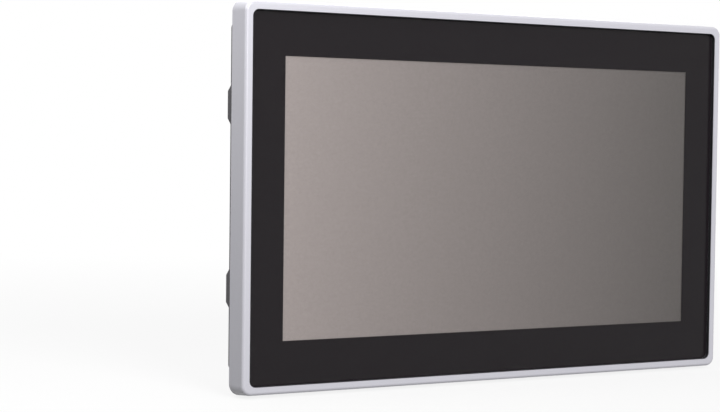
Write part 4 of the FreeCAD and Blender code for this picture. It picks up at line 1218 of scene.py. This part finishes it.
serial_middle = node_middle("serial_pins")
pin = bar_stock("pin", pin_radius, pin_tip, pin_root, 20)
round_rim(pin, pin_tip, 0.42, segments=4)
pin.data.transform(standing)
smooth(pin, 40)
pin_places = [
    (serial_middle.x + (i - (count - 1) / 2) * pin_pitch, serial_middle.y + dy, 0)
    for count, dy in ((5, -row_half), (4, row_half)) for i in range(count)
]
serial_pins = set_of(pin, "serial_pins_domed", pin_places, "contact_brass")
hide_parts("serial_pins")

post_bore = thread_ridge(
    "post_thread", post_crest, post_pitch, bay_ceiling - 6.4, bay_ceiling - 2.2, inward=True
)
post_bore.data.transform(standing)
smooth(post_bore, thread_shade)
post_threads = set_of(
    post_bore, "serial_post_threads",
    [(serial_middle.x + side * post_side, serial_middle.y, 0) for side in (-1, 1)],
    "plated_steel",
)
print("serial pins", len(pin_places), "threads", len(post_threads.data.polygons))

# %% [markdown]
# Through the cover's slots one sees the board. Its tallest parts are the aluminium cans of
# electrolytic capacitors. A can is a bar whose top is inset and sunk to leave the crimped rim, with
# a score across the top, where it would burst, and a bead pressed in low down over its black foot.

# %% Capacitors
board_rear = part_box("mainboard")[1][1] / mm
can_metal = metal("aluminium_can", "#AFB0B3", "#C0C1C4", 2.0, 0.28, 0.4, 0.01)
can_radius, can_rear = 4.0, board_rear + 9.5
foot_half, foot_height = 4.1, 0.7

can = bar_stock("can", can_radius, board_rear + 0.6, can_rear, 32)
open_mesh(can)
pick_facing(can, y=1)
bpy.ops.mesh.inset(thickness=0.45 * mm)
bpy.ops.mesh.inset(thickness=0.15 * mm, depth=-0.3 * mm)
close_mesh()
for turn in (0, 60, 120):
    score = block_stock("score", (-3.0, board_rear + 9.1, -0.12), (3.0, board_rear + 9.6, 0.12))
    cut(can, turned(score, turn))
bead = bar_stock("bead", 4.6, board_rear + 1.9, board_rear + 2.5, 32)
cut(bead, bar_stock("bead_core", 3.7, board_rear + 1.0, board_rear + 3.0, 32))
cut(can, bead)
round_edges(can, 0.12 * mm)
foot = block_stock(
    "foot", (-foot_half, board_rear, -foot_half), (foot_half, board_rear + foot_height, foot_half)
)
round_edges(foot, 0.25 * mm)
can_places = [(x, 0, z) for x in (104.0, 115.0, 126.0) for z in (-42.0, -54.0)]
cans = set_of(can, "capacitor_cans", can_places, "sink_aluminium", can_metal)
set_of(foot, "capacitor_feet", can_places, "black_plastic")
print("cans", len(can_places), "faces", len(cans.data.polygons))

# %% [markdown]
# A power choke is a block of grey ferrite with rounded upright edges and a shallow pan in its top,
# where the winding ends. It stands beside the capacitors that it works with.

# %% Chokes
ferrite = plastic("grey_ferrite", "#3A3A3D", "#46464A", 0.6, 0.6, 0.75, 0.05)
choke_half, choke_height = 6.0, 6.0

choke = block_stock(
    "choke", (-choke_half, board_rear, -choke_half),
    (choke_half, board_rear + choke_height, choke_half),
)
open_mesh(choke, "EDGE")
pick(choke, "edges", lambda edge: abs((edge.verts[0].co - edge.verts[1].co).y) > 5 * mm)
bpy.ops.mesh.bevel(offset=1.8 * mm, segments=4)
bpy.ops.mesh.select_mode(type="FACE")
pick_facing(choke, y=1)
bpy.ops.mesh.inset(thickness=1.4 * mm)
bpy.ops.mesh.inset(thickness=0.3 * mm, depth=-0.5 * mm)
close_mesh()
round_edges(choke, 0.15 * mm)
choke_places = [(48.0, 0, -48.0), (63.0, 0, -48.0), (78.0, 0, -48.0), (48.0, 0, 48.0)]
chokes = set_of(choke, "board_chokes", choke_places, "chip", ferrite)
print("chokes", len(choke_places), "faces", len(chokes.data.polygons))

# %% [markdown]
# A flat chip is moulded in epoxy, with a small round dent at its first pin and rows of tinned legs
# on four sides. One leg is drawn, copied into a row, and the row is turned to each side.

# %% Chips
chip_half, legs_a_side, leg_pitch = 6.0, 11, 0.95

chip = block_stock(
    "chip", (-chip_half, board_rear + 0.15, -chip_half), (chip_half, board_rear + 1.6, chip_half)
)
cut(chip, bar_stock("first_pin_mark", 0.6, board_rear + 1.4, board_rear + 2.0, 16))
round_edges(chip, 0.18 * mm)
chip_places = [
    (-112.0, 0, 48.0), (-112.0, 0, -48.0), (-70.0, 0, -55.0), (-48.0, 0, -55.0), (112.0, 0, 48.0)
]
leg = block_stock("leg", (5.9, board_rear, -0.2), (7.0, board_rear + 0.25, 0.2))
legs = [
    turned(copy_at(leg, f"leg_{turn}_{i}", (0, 0, (i - legs_a_side // 2) * leg_pitch)), turn)
    for turn in (0, 90, 180, 270) for i in range(legs_a_side)
]
bpy.data.objects.remove(leg)
leg_count = len(legs)
set_of(join(*legs), "chip_legs", chip_places, "plated_steel", tinned)
set_of(chip, "board_chips", chip_places, "chip")
print("chips", len(chip_places), "legs", leg_count * len(chip_places))
